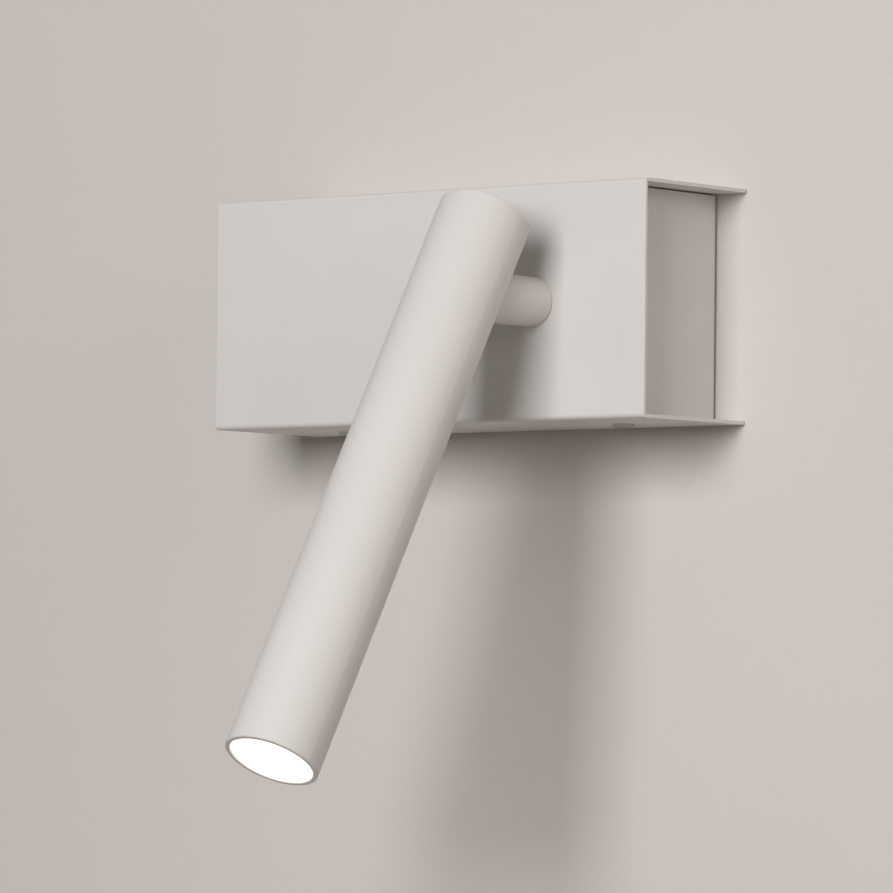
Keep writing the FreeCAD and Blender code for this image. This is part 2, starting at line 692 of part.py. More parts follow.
# Terminal block: three poles, snapped into the chassis
def make_terminal_block():
    body = new_body("terminal_block")
    plan = new_sketch(body, "XY_Plane", "chassis_sheet")
    rectangle(plan, "-block_length / 2", "block_length / 2", "-block_width / 2", "block_width / 2")
    block = pad(body, plan, "block_height")
    top_level = size("block_top")
    dress(
        body, "Chamfer", block,
        lambda edge, middle: near(middle.z, top_level) and near(middle.y, 0),
        Size="block_edge")
    wells = new_sketch(body, "XY_Plane", "block_top")
    wires = new_sketch(body, "YZ_Plane")
    for pole in ("-pole_pitch", "0", "pole_pitch"):
        circle(wires, "wire_hole", x=pole, y="wire_level")
        for side in ("-", ""):
            circle(wells, "well_radius", x=f"{side}column_pitch / 2", y=pole)
    pocket(body, wells, "well_depth")
    pocket(body, wires, "block_length + 2 * overrun", middle=True)
    pegs = new_sketch(body, "XY_Plane")
    for side in ("-", ""):
        circle(pegs, "peg_radius", y=f"{side}peg_pitch / 2")
    pad(body, pegs, "chassis_sheet")
    place_facing(body, across="block_x", up="block_z")


def make_terminal_screws():
    body, clamp = rod("terminal_screws", "well_radius - thread_gap", "0", "clamp_height")
    slot = new_sketch(body, "XY_Plane", "clamp_height")
    rectangle(slot, "-well_radius", "well_radius", "-clamp_slot / 2", "clamp_slot / 2")
    cut = pocket(body, slot, "clamp_slot")
    row = repeat(body, [clamp, cut], "X_Axis", "column_pitch")
    row.Direction2 = (origin_feature(body, "Y_Axis"), [""])
    row.Occurrences2 = POLE_COUNT
    bind(row, Length2="2 * pole_pitch")
    place(body, across="block_x - column_pitch / 2", out="block_top - well_depth",
          up="block_z - pole_pitch", turn=90)


# Earth point: a screw and a ring lug
def make_earth_screw():
    body, features = pan_screw(
        "earth_screw", "screw_radius", "lug_sheet + chassis_sheet",
        "screw_head_radius", "screw_head_height")
    cross_recess(body, "screw_head_height")
    place(body, across="earth_x", out="chassis_sheet + lug_sheet", up="earth_z", turn=90)


def make_earth_lug():
    body = new_body("earth_lug")
    ring = new_sketch(body, "XY_Plane", "chassis_sheet")
    circle(ring, "lug_radius")
    circle(ring, "screw_radius + screw_clearance")
    pad(body, ring, "lug_sheet")
    neck = new_sketch(body, "XY_Plane", "chassis_sheet")
    rectangle(neck, "lug_radius - overrun", "lug_reach", "-lug_neck / 2", "lug_neck / 2")
    pad(body, neck, "lug_sheet")
    barrel = new_sketch(body, "YZ_Plane", "lug_reach")
    circle(barrel, "barrel_radius", y="chassis_sheet + barrel_radius")
    circle(barrel, "wire_radius + thread_gap", y="chassis_sheet + barrel_radius")
    pad(body, barrel, "barrel_length")
    place_facing(body, across="earth_x", up="earth_z")


# Leads inside the box
def make_supply_leads():
    block_side = size("block_x") - size("block_length") / 2
    driver_side = size("driver_x") - size("driver_length") / 2
    level, step = size("wire_level"), size("wire_step")
    room = driver_side + size("chassis_inside")
    tubes = []
    for order, loop_share in enumerate(LOOP_SHARES):
        pole = size("block_z") - size("pole_pitch") * (1 - order)
        bend = driver_side - room * loop_share
        entry = size("driver_z") + step * (1 / 2 - order)
        tubes.append(tube_along("supply_leads", [
            spot(block_side + size("wire_hold"), level, pole), spot(bend, level, pole),
            spot(bend, level, entry), spot(driver_side, level, entry)], size("wire_radius")))
    make_leads("supply_leads", tubes)


def make_earth_lead():
    start = size("earth_x") + size("lug_reach") + size("barrel_length")
    low = size("chassis_sheet") + size("barrel_radius")
    block_side = size("block_x") - size("block_length") / 2
    pole = size("block_z") + size("pole_pitch")
    hold, level = size("wire_hold"), size("wire_level")
    make_leads("earth_lead", [tube_along("earth_lead", [
        spot(start - hold, low, size("earth_z")), spot(start + hold, low, size("earth_z")),
        spot(block_side - hold, level, pole), spot(block_side + hold, level, pole)],
        size("wire_radius"))])


def make_driver_output_lead():
    side = size("driver_x") + size("driver_length") / 2
    level, exit_z = size("lead_level"), size("lead_exit_z")
    make_leads("driver_output_lead", [tube_along("driver_output_lead", [
        spot(side, level, exit_z), spot(side + size("lead_run"), level, exit_z),
        spot(size("stub_x"), level, 0),
        spot(size("stub_x"), size("nipple_start") - size("lead_gap"), 0)],
        size("lead_radius"))])


# Swivel bearing in the cover's face
def make_swivel_bush():
    body = new_body("swivel_bush")
    back = "inner_depth - bush_sheet"
    turned(body, [
        ("bush_bore", back), ("bush_sleeve", back), ("bush_sleeve", "cover_depth"),
        ("bush_flange", "cover_depth"), ("bush_flange", "stub_start"), ("bush_bore", "stub_start")])
    place_facing(body, across="stub_x")


def make_glide_washer():
    body = new_body("glide_washer")
    ring = new_sketch(body, "XY_Plane", "inner_depth - bush_sheet")
    circle(ring, "glide_radius")
    circle(ring, "bush_sleeve + press_gap")
    pad(body, ring, "bush_sheet")
    place_facing(body, across="stub_x")


def make_stop_stud():
    body, _ = rod("stop_stud", "stop_stud_radius", "inner_depth - stop_stud_length", "inner_depth")
    place_facing(body, across="stub_x", up="swivel_stop_radius")


# Arm: a turned stub with a tongue, held by a hollow nipple and two nuts
def make_arm_stub():
    body = new_body("arm_stub")
    bore = "nipple_radius + thread_gap"
    shoulder = "pivot_depth - shoulder"
    turned(body, [
        (bore, "stub_start"), ("stub_radius - stub_edge", "stub_start"),
        ("stub_radius", "stub_start + stub_edge"), ("stub_radius", f"{shoulder} - stub_edge"),
        ("stub_radius - stub_edge", shoulder), ("tongue_bore", shoulder),
        ("tongue_bore", f"{shoulder} - overrun"), ("stub_bore", f"{shoulder} - overrun"),
        ("stub_bore", "nipple_end"), (bore, "nipple_end")])
    tongue = new_sketch(body, "YZ_Plane")
    rectangle(tongue, "-tongue_radius", "tongue_radius", f"{shoulder} - overrun / 2", "pivot_depth")
    pad(body, tongue, "tongue_width", middle=True)
    eye = new_sketch(body, "YZ_Plane")
    circle(eye, "tongue_radius", y="pivot_depth")
    pad(body, eye, "tongue_width", middle=True)
    drill(body, "tongue_bore", "pivot_depth", "shoulder + overrun")
    way = new_sketch(body, "YZ_Plane")
    rectangle(way, "-tongue_radius - overrun", "tongue_bore",
              "pivot_depth - tongue_bore", "pivot_depth + tongue_radius + overrun")
    pocket(body, way, "2 * tongue_bore", middle=True)
    pivot = new_sketch(body, "YZ_Plane")
    circle(pivot, "pivot_thread + thread_gap", y="pivot_depth")
    pocket(body, pivot, "tongue_width + 2 * overrun", middle=True)
    place_facing(body, across="stub_x")


def make_swivel_nipple():
    body = new_body("swivel_nipple")
    tube = new_sketch(body, "XY_Plane", "nipple_start")
    circle(tube, "nipple_radius")
    circle(tube, "nipple_bore")
    pad(body, tube, "nipple_end - nipple_start")
    place_facing(body, across="stub_x")


def make_stop_washer():
    body = new_body("stop_washer")
    ring = new_sketch(body, "XY_Plane", "stop_start")
    circle(ring, "stop_washer_radius")
    circle(ring, "nipple_radius + thread_gap")
    pad(body, ring, "stop_washer_sheet")
    lug = new_sketch(body, "XY_Plane", "stop_start")
    rectangle(lug, "-stop_lug_width / 2", "stop_lug_width / 2",
              "-stop_lug_reach", "overrun - stop_washer_radius")
    pad(body, lug, "stop_washer_sheet")
    place_facing(body, across="stub_x")


def make_disc_spring():
    body = new_body("disc_spring")
    bore = "nipple_radius + thread_gap"
    turned(body, [
        (bore, "spring_start"), ("spring_radius", "spring_start + spring_rise"),
        ("spring_radius", "stop_start"), (bore, "spring_start + spring_sheet")])
    place_facing(body, across="stub_x")


def make_swivel_nuts():
    body = new_body("swivel_nuts")
    plan = new_sketch(body, "XY_Plane", "nuts_start")
    hexagon(plan, "nut_flat")
    circle(plan, "nipple_radius + thread_gap")
    nut = pad(body, plan, "nut_height - thread_gap")
    repeat(body, [nut], "Z_Axis", "nut_height")
    place_facing(body, across="stub_x")


def make_arm_lead():
    body, _ = rod("arm_lead", "lead_radius", "nipple_start", "pivot_depth - lead_radius - lead_gap")
    place_facing(body, across="stub_x")


# Pivot screws: shoulders that the fork's ears turn on
def make_pivot_screws():
    body = new_body("pivot_screws")
    half = new_sketch(body, "XY_Plane")
    head = "ear_end + running_gap"
    top = f"{head} + pivot_head_height"
    outline(half, [
        ("pivot_tip", "0"), (top, "0"), (top, "pivot_head_radius"), (head, "pivot_head_radius"),
        (head, "pivot_radius"), ("tongue_width / 2", "pivot_radius"),
        ("tongue_width / 2", "pivot_thread"), ("pivot_tip", "pivot_thread")])
    screw = spin(body, "Revolution", half, axis="H_Axis")
    socket = new_sketch(body, "YZ_Plane", top)
    hexagon(socket, "socket_radius")
    mirror(body, [screw, pocket(body, socket, "socket_depth")], "YZ_Plane")
    place(body, across="stub_x", out="pivot_depth", turn=90)


# Head tube: open at its lower end, slotted at the back for the stub
def make_head_tube():
    body = new_body("head_tube")
    turned(body, [
        ("tube_bore", "-head_below"), ("head_radius - head_edge", "-head_below"),
        ("head_radius", "head_edge - head_below"), ("head_radius", "head_above - head_edge"),
        ("head_radius - head_edge", "head_above"), ("tube_bore", "head_above")])
    slot = new_sketch(body, "XZ_Plane")
    rectangle(slot, "-notch", "notch", "0", "head_above + overrun")
    pocket(body, slot, "head_radius + overrun")
    slot_end = new_sketch(body, "XZ_Plane")
    circle(slot_end, "notch")
    pocket(body, slot_end, "head_radius + overrun")
    grubs = new_sketch(body, "XZ_Plane")
    for level in ("fork_grub", "fork_grub + grub_spacing", "sink_grub"):
        circle(grubs, "grub_radius + thread_gap", y=level)
    pocket(body, grubs, "head_radius + overrun")
    place_on_head(body)


def make_top_cap():
    body, _ = rod("top_cap", "plug_radius", "head_above - cap_height", "head_above")
    notch = new_sketch(body, "XY_Plane", "head_above")
    rectangle(notch, "-notch", "notch", "0", "head_radius")
    pocket(body, notch, "cap_height")
    drill(body, "notch", "head_above", "cap_height")
    place_on_head(body)


# Tilt fork: a plug in the tube with an ear each side of the tongue
def make_tilt_fork():
    body = new_body("tilt_fork")
    low, high = "-fork_top - fork_plug", "-fork_top"
    turned(body, [("fork_bore", low), ("plug_radius", low), ("plug_radius", high),
                  ("fork_bore", high)])
    leg = new_sketch(body, "YZ_Plane", "ear_start")
    rectangle(leg, "-ear_radius", "ear_radius", "-fork_top - overrun", "0")
    leg_pad = pad(body, leg, "fork_ear")
    eye = new_sketch(body, "YZ_Plane", "ear_start")
    circle(eye, "ear_radius")
    mirror(body, [leg_pad, pad(body, eye, "fork_ear")], "YZ_Plane")
    pivot = new_sketch(body, "YZ_Plane")
    circle(pivot, "pivot_radius + running_gap")
    pocket(body, pivot, "2 * ear_end + overrun", middle=True)
    grubs = new_sketch(body, "XZ_Plane")
    for level in ("fork_grub", "fork_grub + grub_spacing"):
        circle(grubs, "grub_radius + thread_gap", y=level)
    pocket(body, grubs, "head_radius")
    place_on_head(body)


def grub_screw(label, level):
    """Make a grub screw that lies in the tube's back wall at a level."""
    body = new_body(label)
    end = new_sketch(body, "XZ_Plane", "-grub_outer")
    circle(end, "grub_radius", y=level)
    thread = pad(body, end, "grub_length")
    socket = new_sketch(body, "XZ_Plane", "-grub_outer")
    corner = "socket_radius"
    rectangle(socket, f"-{corner} / 2", f"{corner} / 2", f"{level} - {corner} / 2",
              f"{level} + {corner} / 2")
    cut = pocket(body, socket, "socket_depth", back=True)
    place_on_head(body)
    return body, [thread, cut]


def make_fork_screws():
    body, features = grub_screw("fork_screws", "fork_grub")
    repeat(body, features, "Z_Axis", "grub_spacing")


def make_sink_screw():
    grub_screw("sink_screw", "sink_grub")


def make_friction_washers():
    body = new_body("friction_washers")
    ring = new_sketch(body, "YZ_Plane", "tongue_width / 2")
    circle(ring, "washer_radius")
    circle(ring, "pivot_radius + running_gap")
    mirror(body, [pad(body, ring, "washer_sheet")], "YZ_Plane")
    place_on_head(body)


# Heat sink: a round base with a core and fins towards the fork
def make_heat_sink():
    body = new_body("heat_sink")
    crest = "sink_top + sink_height"
    turned(body, [
        ("sink_bore", "sink_start"), ("plug_radius", "sink_start"), ("plug_radius", "sink_top"),
        ("sink_core", "sink_top"), ("sink_core", crest), ("sink_bore", crest)])
    blade = new_sketch(body, "XY_Plane", "sink_top")
    rectangle(blade, "sink_core - overrun", "fin_radius", "-fin_sheet / 2", "fin_sheet / 2")
    fin = pad(body, blade, "sink_height")
    fins = body.newObject("PartDesign::PolarPattern", "heat_sink_fins")
    fins.Originals = [fin]
    fins.Axis = (origin_feature(body, "Z_Axis"), [""])
    fins.Occurrences = FIN_COUNT
    body.Tip = fins
    holes = new_sketch(body, "XY_Plane", "sink_start")
    for side in ("-", ""):
        circle(holes, "board_screw_radius + thread_gap", x=f"{side}board_screw_offset")
    pocket(body, holes, "board_screw_length", back=True)
    grub = new_sketch(body, "XZ_Plane", "-grub_inner")
    circle(grub, "grub_radius + thread_gap", y="sink_grub")
    pocket(body, grub, "grub_length")
    place_on_head(body)


# Light source on its board
def board_disc(label, radius, start, height, lead_hole=None):
    body = new_body(label)
    plan = new_sketch(body, "XY_Plane", start)
    circle(plan, radius)
    for side in ("-", ""):
        circle(plan, "board_screw_radius + screw_clearance", x=f"{side}board_screw_offset")
    if lead_hole:
        circle(plan, lead_hole)
    pad(body, plan, height)
    place_on_head(body)


def make_thermal_pad():
    board_disc("thermal_pad", "pad_radius", "board_back", "pad_height", lead_hole="sink_bore")


def make_led_board():
    board_disc("led_board", "board_radius", "board_face", "board_height")


def make_board_screws():
    body = new_body("board_screws")
    head, tip = "board_face - board_head_height", "board_face + board_screw_length"
    screw = turned(body, [
        ("0", head), ("board_head_radius", head), ("board_head_radius", "board_face"),
        ("board_screw_radius", "board_face"), ("board_screw_radius", tip), ("0", tip)])
    repeat(body, [screw], "X_Axis", "2 * board_screw_offset")
    place_on_head(body, across="stub_x - board_screw_offset")


def make_led_emitter():
    body = new_body("led_emitter")
    front = "board_face - emitter_height"
    turned(body, [
        ("0", front), ("emitter_radius - emitter_edge", front),
        ("emitter_radius", f"{front} + emitter_edge"), ("emitter_radius", "board_face"),
        ("0", "board_face")])
    place_on_head(body)


# Optic, its holder and the diffuser
def make_optic_lens():
    body = new_body("optic_lens")
    curve = [
        (f"optic_throat + {wide} * (optic_mouth - optic_throat)",
         f"optic_start + {far} * (diffuser_back - optic_start)")
        for far, wide in OPTIC_SHARES]
    turned(body, [
        ("0", "optic_start - optic_pocket"), ("optic_pocket_radius", "optic_start - optic_pocket"),
        ("optic_pocket_radius", "optic_start"), *curve, ("0", "diffuser_back")])
    place_on_head(body)


def make_optic_holder():
    body = new_body("optic_holder")
    floor_top = "optic_start + holder_floor"
    turned(body, [
        ("holder_bore", "board_face"), ("holder_radius", "board_face"),
        ("holder_radius", "seal_height + groove_half"),
        ("groove_bottom", "seal_height + groove_half"),
        ("groove_bottom", "seal_height - groove_half"),
        ("holder_radius", "seal_height - groove_half"), ("holder_radius", "diffuser_back"),
        ("holder_bore", "diffuser_back"), ("holder_bore", "optic_start"),
        ("holder_window", "optic_start"), ("holder_window", floor_top),
        ("holder_bore", floor_top)])
    place_on_head(body)


def make_seal_ring():
    body = new_body("seal_ring")
    section = new_sketch(body, "XZ_Plane")
    circle(section, "seal_radius", x="seal_centre", y="seal_height")
    spin(body, "Revolution", section)
    place_on_head(body)


def make_diffuser():
    body = new_body("diffuser")
    front = "diffuser_sink - head_below"
    turned(body, [
        ("0", front), ("holder_radius - head_edge", front), ("holder_radius", f"{front} + head_edge"),
        ("holder_radius", "diffuser_back"), ("0", "diffuser_back")])
    place_on_head(body)


def make_head_lead():
    body, cable = rod("head_lead", "lead_radius", "board_back", "lead_radius")
    top_level = size("lead_radius")
    dress(body, "Fillet", cable, lambda edge, middle: near(middle.z, top_level),
          Radius="lead_end_round")
    place_on_head(body)


MAKERS = [
    make_front_cover, make_mounting_chassis, make_cover_screws, make_press_nuts,
    make_cable_grommet, make_driver_case, make_driver_screws, make_terminal_block,
    make_terminal_screws, make_earth_screw, make_earth_lug, make_supply_leads, make_earth_lead,
    make_driver_output_lead, make_swivel_bush, make_glide_washer, make_stop_stud, make_arm_stub,
    make_swivel_nipple, make_stop_washer, make_disc_spring, make_swivel_nuts, make_arm_lead,
    make_pivot_screws, make_head_tube, make_top_cap, make_tilt_fork, make_fork_screws,
    make_friction_washers, make_heat_sink, make_sink_screw, make_thermal_pad, make_led_board,
    make_board_screws, make_led_emitter, make_optic_lens, make_optic_holder, make_seal_ring,
    make_diffuser, make_head_lead]


def pieces():
    return [item for item in doc.Objects
            if item.TypeId in ("PartDesign::Body", "Part::Feature") and item.getParentGroup() is None]


def check_document():
    for item in doc.Objects:
        if any(word in ("Invalid", "Error") for word in item.State):
            raise RuntimeError(f"{item.Label} failed: {item.State}")
    for item in pieces():
        if item.Shape.isNull() or not item.Shape.isValid() or not item.Shape.Solids:
            raise RuntimeError(f"{item.Label} has no valid shape")


def write_parts():
    os.makedirs("parts", exist_ok=True)
    for item in pieces():
        item.Shape.exportStep(os.path.join("parts", item.Label + ".step"))
        print(item.Label, len(item.Shape.Solids), "solids", round(item.Shape.Volume, 1))


for make in MAKERS:
    make()
doc.recompute()
check_document()
write_parts()
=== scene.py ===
"""Adjustable wall spotlight, dressed for rendering.

Metres. X runs along the wall, Y into the wall and Z up, as in the part's own source.
"""
import json
import math

import bmesh
import bpy
import numpy as np
from mathutils import Matrix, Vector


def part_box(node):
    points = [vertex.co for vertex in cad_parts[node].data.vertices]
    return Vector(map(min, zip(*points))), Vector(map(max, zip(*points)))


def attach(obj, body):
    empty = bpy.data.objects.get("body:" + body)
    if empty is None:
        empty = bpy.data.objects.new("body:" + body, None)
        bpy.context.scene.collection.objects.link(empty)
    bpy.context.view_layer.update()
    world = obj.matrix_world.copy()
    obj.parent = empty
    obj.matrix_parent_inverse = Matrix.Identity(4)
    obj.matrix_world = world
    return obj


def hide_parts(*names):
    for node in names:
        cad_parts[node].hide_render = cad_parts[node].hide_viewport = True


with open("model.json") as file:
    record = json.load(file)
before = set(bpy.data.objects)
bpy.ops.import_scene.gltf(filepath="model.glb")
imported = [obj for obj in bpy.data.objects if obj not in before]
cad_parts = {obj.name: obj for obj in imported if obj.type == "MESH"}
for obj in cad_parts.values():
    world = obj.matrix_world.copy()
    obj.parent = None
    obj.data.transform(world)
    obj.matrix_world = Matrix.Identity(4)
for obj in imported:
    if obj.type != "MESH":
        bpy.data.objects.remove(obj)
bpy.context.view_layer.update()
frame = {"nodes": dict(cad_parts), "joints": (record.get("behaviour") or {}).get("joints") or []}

bl_info = {
    "name": "Adjustable wall spotlight",
    "version": (1, 0, 0),
    "blender": (4, 5, 0),
    "location": "View3D > Sidebar > Spotlight",
    "description": "Dresses the packed wall spotlight and sets up its wall and lamps",
    "category": "Object",
}

TILT_AXIS = next(joint["pos_m"] for joint in frame["joints"] if joint["name"] == "tilt")
MM = 0.001

# Sockets of a Mix node that mixes colours
MIX_FACTOR, MIX_A, MIX_B, MIX_RESULT = 0, 6, 7, 2

# Points nearer than this become one, and a sheet's faces that turn by less become one
WELD = 1e-7
FLAT = math.radians(0.2)

# Edges that turn by more than this stay sharp, and a sheet's that turn by more are rounded
SHARP = math.radians(38)
SHEET_SHARP = math.radians(30)
SHEET_ROUNDED = math.radians(40)

# Points round a turned piece and round a screw, where the last lies on the first
TURN_POINTS = 97
SCREW_TURN_POINTS = 129

# Where the lamps point, how far off they stand, and each lamp's name, side in metres, heading and
# rise in degrees, and whether it has the warm fill colour
LAMP_AIM = np.array([0.0, -0.05, -0.05])
LAMP_DISTANCE = 2.0
LAMPS = (
    ("key", 0.8, 17, 13, False), ("right", 0.9, 70, 18, True), ("left", 0.9, -70, 30, True),
    ("low", 0.9, -40, -15, True), ("upper", 0.9, 70, 68, True), ("rear", 1.5, 160, 20, False))


def linear(hex_colour):
    """Turn an sRGB hex colour into linear RGBA."""
    coded = [int(hex_colour[place:place + 2], 16) / 255 for place in (1, 3, 5)]
    light = [c / 12.92 if c <= 0.04045 else ((c + 0.055) / 1.055) ** 2.4 for c in coded]
    return (*light, 1.0)


# Sizes and colours that a user would change
class SheetSettings(bpy.types.PropertyGroup):
    edge_radius: bpy.props.FloatProperty(
        name="Edge radius", description="Rounding that the coat gives a cut edge",
        default=0.22 * MM, unit="LENGTH")


class ScrewSettings(bpy.types.PropertyGroup):
    head_radius: bpy.props.FloatProperty(
        name="Head radius", description="Cover screw's low head", default=3.5 * MM,
        unit="LENGTH")
    head_height: bpy.props.FloatProperty(
        name="Head height", description="Cover screw's low head", default=1.2 * MM,
        unit="LENGTH")
    head_fullness: bpy.props.FloatProperty(
        name="Head fullness", description="How square the head's crown is, from 2 for round",
        default=2.9)
    thread_radius: bpy.props.FloatProperty(
        name="Thread radius", description="M4 thread at its crests", default=2 * MM,
        unit="LENGTH")
    thread_depth: bpy.props.FloatProperty(
        name="Thread depth", description="From a crest to a root", default=0.4 * MM,
        unit="LENGTH")
    pitch: bpy.props.FloatProperty(
        name="Pitch", description="M4 thread, crest to crest", default=0.7 * MM, unit="LENGTH")
    length: bpy.props.FloatProperty(
        name="Length", description="Cover screw under its head", default=8 * MM, unit="LENGTH")
    recess_span: bpy.props.FloatProperty(
        name="Recess span", description="Cross recess, across", default=3.6 * MM, unit="LENGTH")
    recess_depth: bpy.props.FloatProperty(
        name="Recess depth", description="Cross recess at its middle", default=1 * MM,
        unit="LENGTH")
    recess_width: bpy.props.FloatProperty(
        name="Recess width", description="One arm of the cross", default=1 * MM, unit="LENGTH")


class DiffuserSettings(bpy.types.PropertyGroup):
    rest_tilt: bpy.props.FloatProperty(
        name="Rest tilt", description="Head from straight down", default=math.radians(30),
        subtype="ANGLE")
    reach: bpy.props.FloatProperty(
        name="Reach", description="Tilt axis to the diffuser's face", default=169.7 * MM,
        unit="LENGTH")
    radius: bpy.props.FloatProperty(
        name="Radius", description="Diffuser", default=13.2 * MM, unit="LENGTH")
    thickness: bpy.props.FloatProperty(
        name="Thickness", description="Diffuser", default=2 * MM, unit="LENGTH")
    crown: bpy.props.FloatProperty(
        name="Crown", description="Rise of the face at its middle", default=0.25 * MM,
        unit="LENGTH")
    edge: bpy.props.FloatProperty(
        name="Edge", description="Rounding of the rim", default=0.25 * MM, unit="LENGTH")
    glow: bpy.props.FloatProperty(
        name="Glow", description="Strength of the lit face", default=1.5)
    rim_glow: bpy.props.FloatProperty(
        name="Rim glow", description="Strength at the rim, as a share of the middle's",
        default=0.8, min=0, max=1)
    fade_start: bpy.props.FloatProperty(
        name="Fade start", description="Share of the radius at which the glow starts to change",
        default=0.55, min=0, max=1)
    glow_colour: bpy.props.FloatVectorProperty(
        name="Glow colour", description="Warm white light through the opal face", size=4,
        subtype="COLOR", default=linear("#FFFDF6"))
    rim_colour: bpy.props.FloatVectorProperty(
        name="Rim colour", description="Light at the opal face's rim", size=4, subtype="COLOR",
        default=linear("#FFFBE6"))


class GrommetSettings(bpy.types.PropertyGroup):
    bore: bpy.props.FloatProperty(
        name="Bore", description="Radius of the way for the cable", default=4 * MM,
        unit="LENGTH")
    neck: bpy.props.FloatProperty(
        name="Neck", description="Radius in the chassis's hole", default=7.98 * MM,
        unit="LENGTH")
    flange: bpy.props.FloatProperty(
        name="Flange", description="Radius over the flange", default=10.9 * MM, unit="LENGTH")
    collar_foot: bpy.props.FloatProperty(
        name="Collar foot", description="Radius of the collar at the flange", default=8 * MM,
        unit="LENGTH")
    collar_end: bpy.props.FloatProperty(
        name="Collar end", description="Radius of the collar at its end", default=6 * MM,
        unit="LENGTH")
    start: bpy.props.FloatProperty(
        name="Start", description="Wall to the neck's end", default=0.05 * MM, unit="LENGTH")
    seat: bpy.props.FloatProperty(
        name="Seat", description="Wall to the flange's face on the chassis",
        default=1.52 * MM, unit="LENGTH")
    lip: bpy.props.FloatProperty(
        name="Lip", description="Wall to the flange's other face", default=3.45 * MM,
        unit="LENGTH")
    height: bpy.props.FloatProperty(
        name="Height", description="Wall to the collar's end", default=5.95 * MM,
        unit="LENGTH")
    rounding: bpy.props.FloatProperty(
        name="Rounding", description="How far a corner's rounding reaches along its sides",
        default=0.35 * MM, unit="LENGTH")


class FinishSettings(bpy.types.PropertyGroup):
    coat: bpy.props.FloatVectorProperty(
        name="Coat", description="White powder coat", size=4, subtype="COLOR",
        default=linear("#D1CDCB"))
    coat_roughness: bpy.props.FloatProperty(
        name="Coat roughness", description="Satin powder coat", default=0.5, min=0, max=1)
    # Zinc's own grey, painted about half as bright as bright zinc: painted shade, so that the
    # cover screws' heads look as dark as they do in the shadow under the flange
    zinc: bpy.props.FloatVectorProperty(
        name="Zinc", description="Plated screws, nuts and washers", size=4, subtype="COLOR",
        default=linear("#9E9D99"))
    aluminium: bpy.props.FloatVectorProperty(
        name="Aluminium", description="Bare turned and extruded aluminium", size=4,
        subtype="COLOR", default=linear("#D2D4D6"))
    supply: bpy.props.FloatVectorProperty(
        name="Supply wires", description="Insulation of the supply wires", size=4,
        subtype="COLOR", default=linear("#6E7FB4"))
    earth: bpy.props.FloatVectorProperty(
        name="Earth wire", description="Green of the earth wire", size=4, subtype="COLOR",
        default=linear("#5E9A3C"))


class StageSettings(bpy.types.PropertyGroup):
    wall: bpy.props.FloatVectorProperty(
        name="Wall", description="Painted wall", size=4, subtype="COLOR",
        default=linear("#D0CAC6"))
    floor: bpy.props.FloatVectorProperty(
        name="Floor", description="Plain floor", size=4, subtype="COLOR",
        default=linear("#CFC9C5"))
    backdrop: bpy.props.FloatVectorProperty(
        name="Backdrop", description="Seen past the wall and the floor", size=4,
        subtype="COLOR", default=linear("#CFC9C5"))
    fill: bpy.props.FloatVectorProperty(
        name="Fill", description="Light that comes back from a warm room", size=4,
        subtype="COLOR", default=linear("#FFF7EC"))
    ambient: bpy.props.FloatProperty(
        name="Ambient", description="Light from all round", default=0.04)
    key: bpy.props.FloatProperty(
        name="Key", description="Soft lamp in front, a little right and above", default=34.5,
        unit="POWER")
    right: bpy.props.FloatProperty(
        name="Right", description="Wide lamp far to the right", default=6.5, unit="POWER")
    left: bpy.props.FloatProperty(
        name="Left", description="Wide lamp far to the left", default=2.8, unit="POWER")
    low: bpy.props.FloatProperty(
        name="Low", description="Wide lamp below on the left", default=1.2, unit="POWER")
    upper: bpy.props.FloatProperty(
        name="Upper", description="Wide lamp high on the right", default=3, unit="POWER")
    rear: bpy.props.FloatProperty(
        name="Rear", description="Wide lamp behind the wall, for the back alone", default=40,
        unit="POWER")
    wall_reach: bpy.props.FloatProperty(
        name="Wall reach", description="Middle of the wall to its edges", default=0.6,
        unit="LENGTH")
    wall_gap: bpy.props.FloatProperty(
        name="Wall gap", description="Box's back to the wall", default=0.6 * MM,
        unit="LENGTH")
    hole_half_width: bpy.props.FloatProperty(
        name="Hole half width", description="Opening in the wall behind the box",
        default=76 * MM, unit="LENGTH")
    hole_half_height: bpy.props.FloatProperty(
        name="Hole half height", description="Opening in the wall behind the box",
        default=35.5 * MM, unit="LENGTH")
    floor_reach: bpy.props.FloatProperty(
        name="Floor reach", description="Middle of the floor to its edges", default=3,
        unit="LENGTH")
    floor_level: bpy.props.FloatProperty(
        name="Floor level", description="Height of the floor", default=-1.6, unit="LENGTH")
    floor_lift: bpy.props.FloatProperty(
        name="Floor lift", description="Share of its colour that the unlit floor shows",
        default=0.5, min=0, max=1)


# Materials
def add_node(tree, kind, inputs=None, **settings):
    """Add a node with its settings, and set its inputs or link them to other sockets."""
    node = tree.nodes.new(kind)
    for name, value in settings.items():
        setattr(node, name, value)
    for name, value in (inputs or {}).items():
        if isinstance(value, bpy.types.NodeSocket):
            tree.links.new(value, node.inputs[name])
        else:
            node.inputs[name].default_value = value
    return node


def new_material(name):
    """Start a material with nothing but its output."""
    material = bpy.data.materials.new(name)
    material.use_nodes = True
    material.node_tree.nodes.clear()
    return material, material.node_tree


def show(tree, shader):
    add_node(tree, "ShaderNodeOutputMaterial", {"Surface": shader})


def grain(tree, size, detail=2.0, stretch=None):
    """Noise whose grain is about as large as size, in metres, and stretched along the axes."""
    place = add_node(tree, "ShaderNodeTexCoord").outputs["Object"]
    if stretch is not None:
        place = add_node(
            tree, "ShaderNodeMapping",
            {"Vector": place, "Scale": [1 / share for share in stretch]}).outputs["Vector"]
    return add_node(
        tree, "ShaderNodeTexNoise",
        {"Vector": place, "Scale": 1 / size, "Detail": detail}).outputs["Fac"]


def spread(tree, value, low, high):
    """Stretch a noise's middle range over low to high."""
    return add_node(
        tree, "ShaderNodeMapRange",
        {"Value": value, "From Min": 0.3, "From Max": 0.7, "To Min": low, "To Max": high}
    ).outputs["Result"]


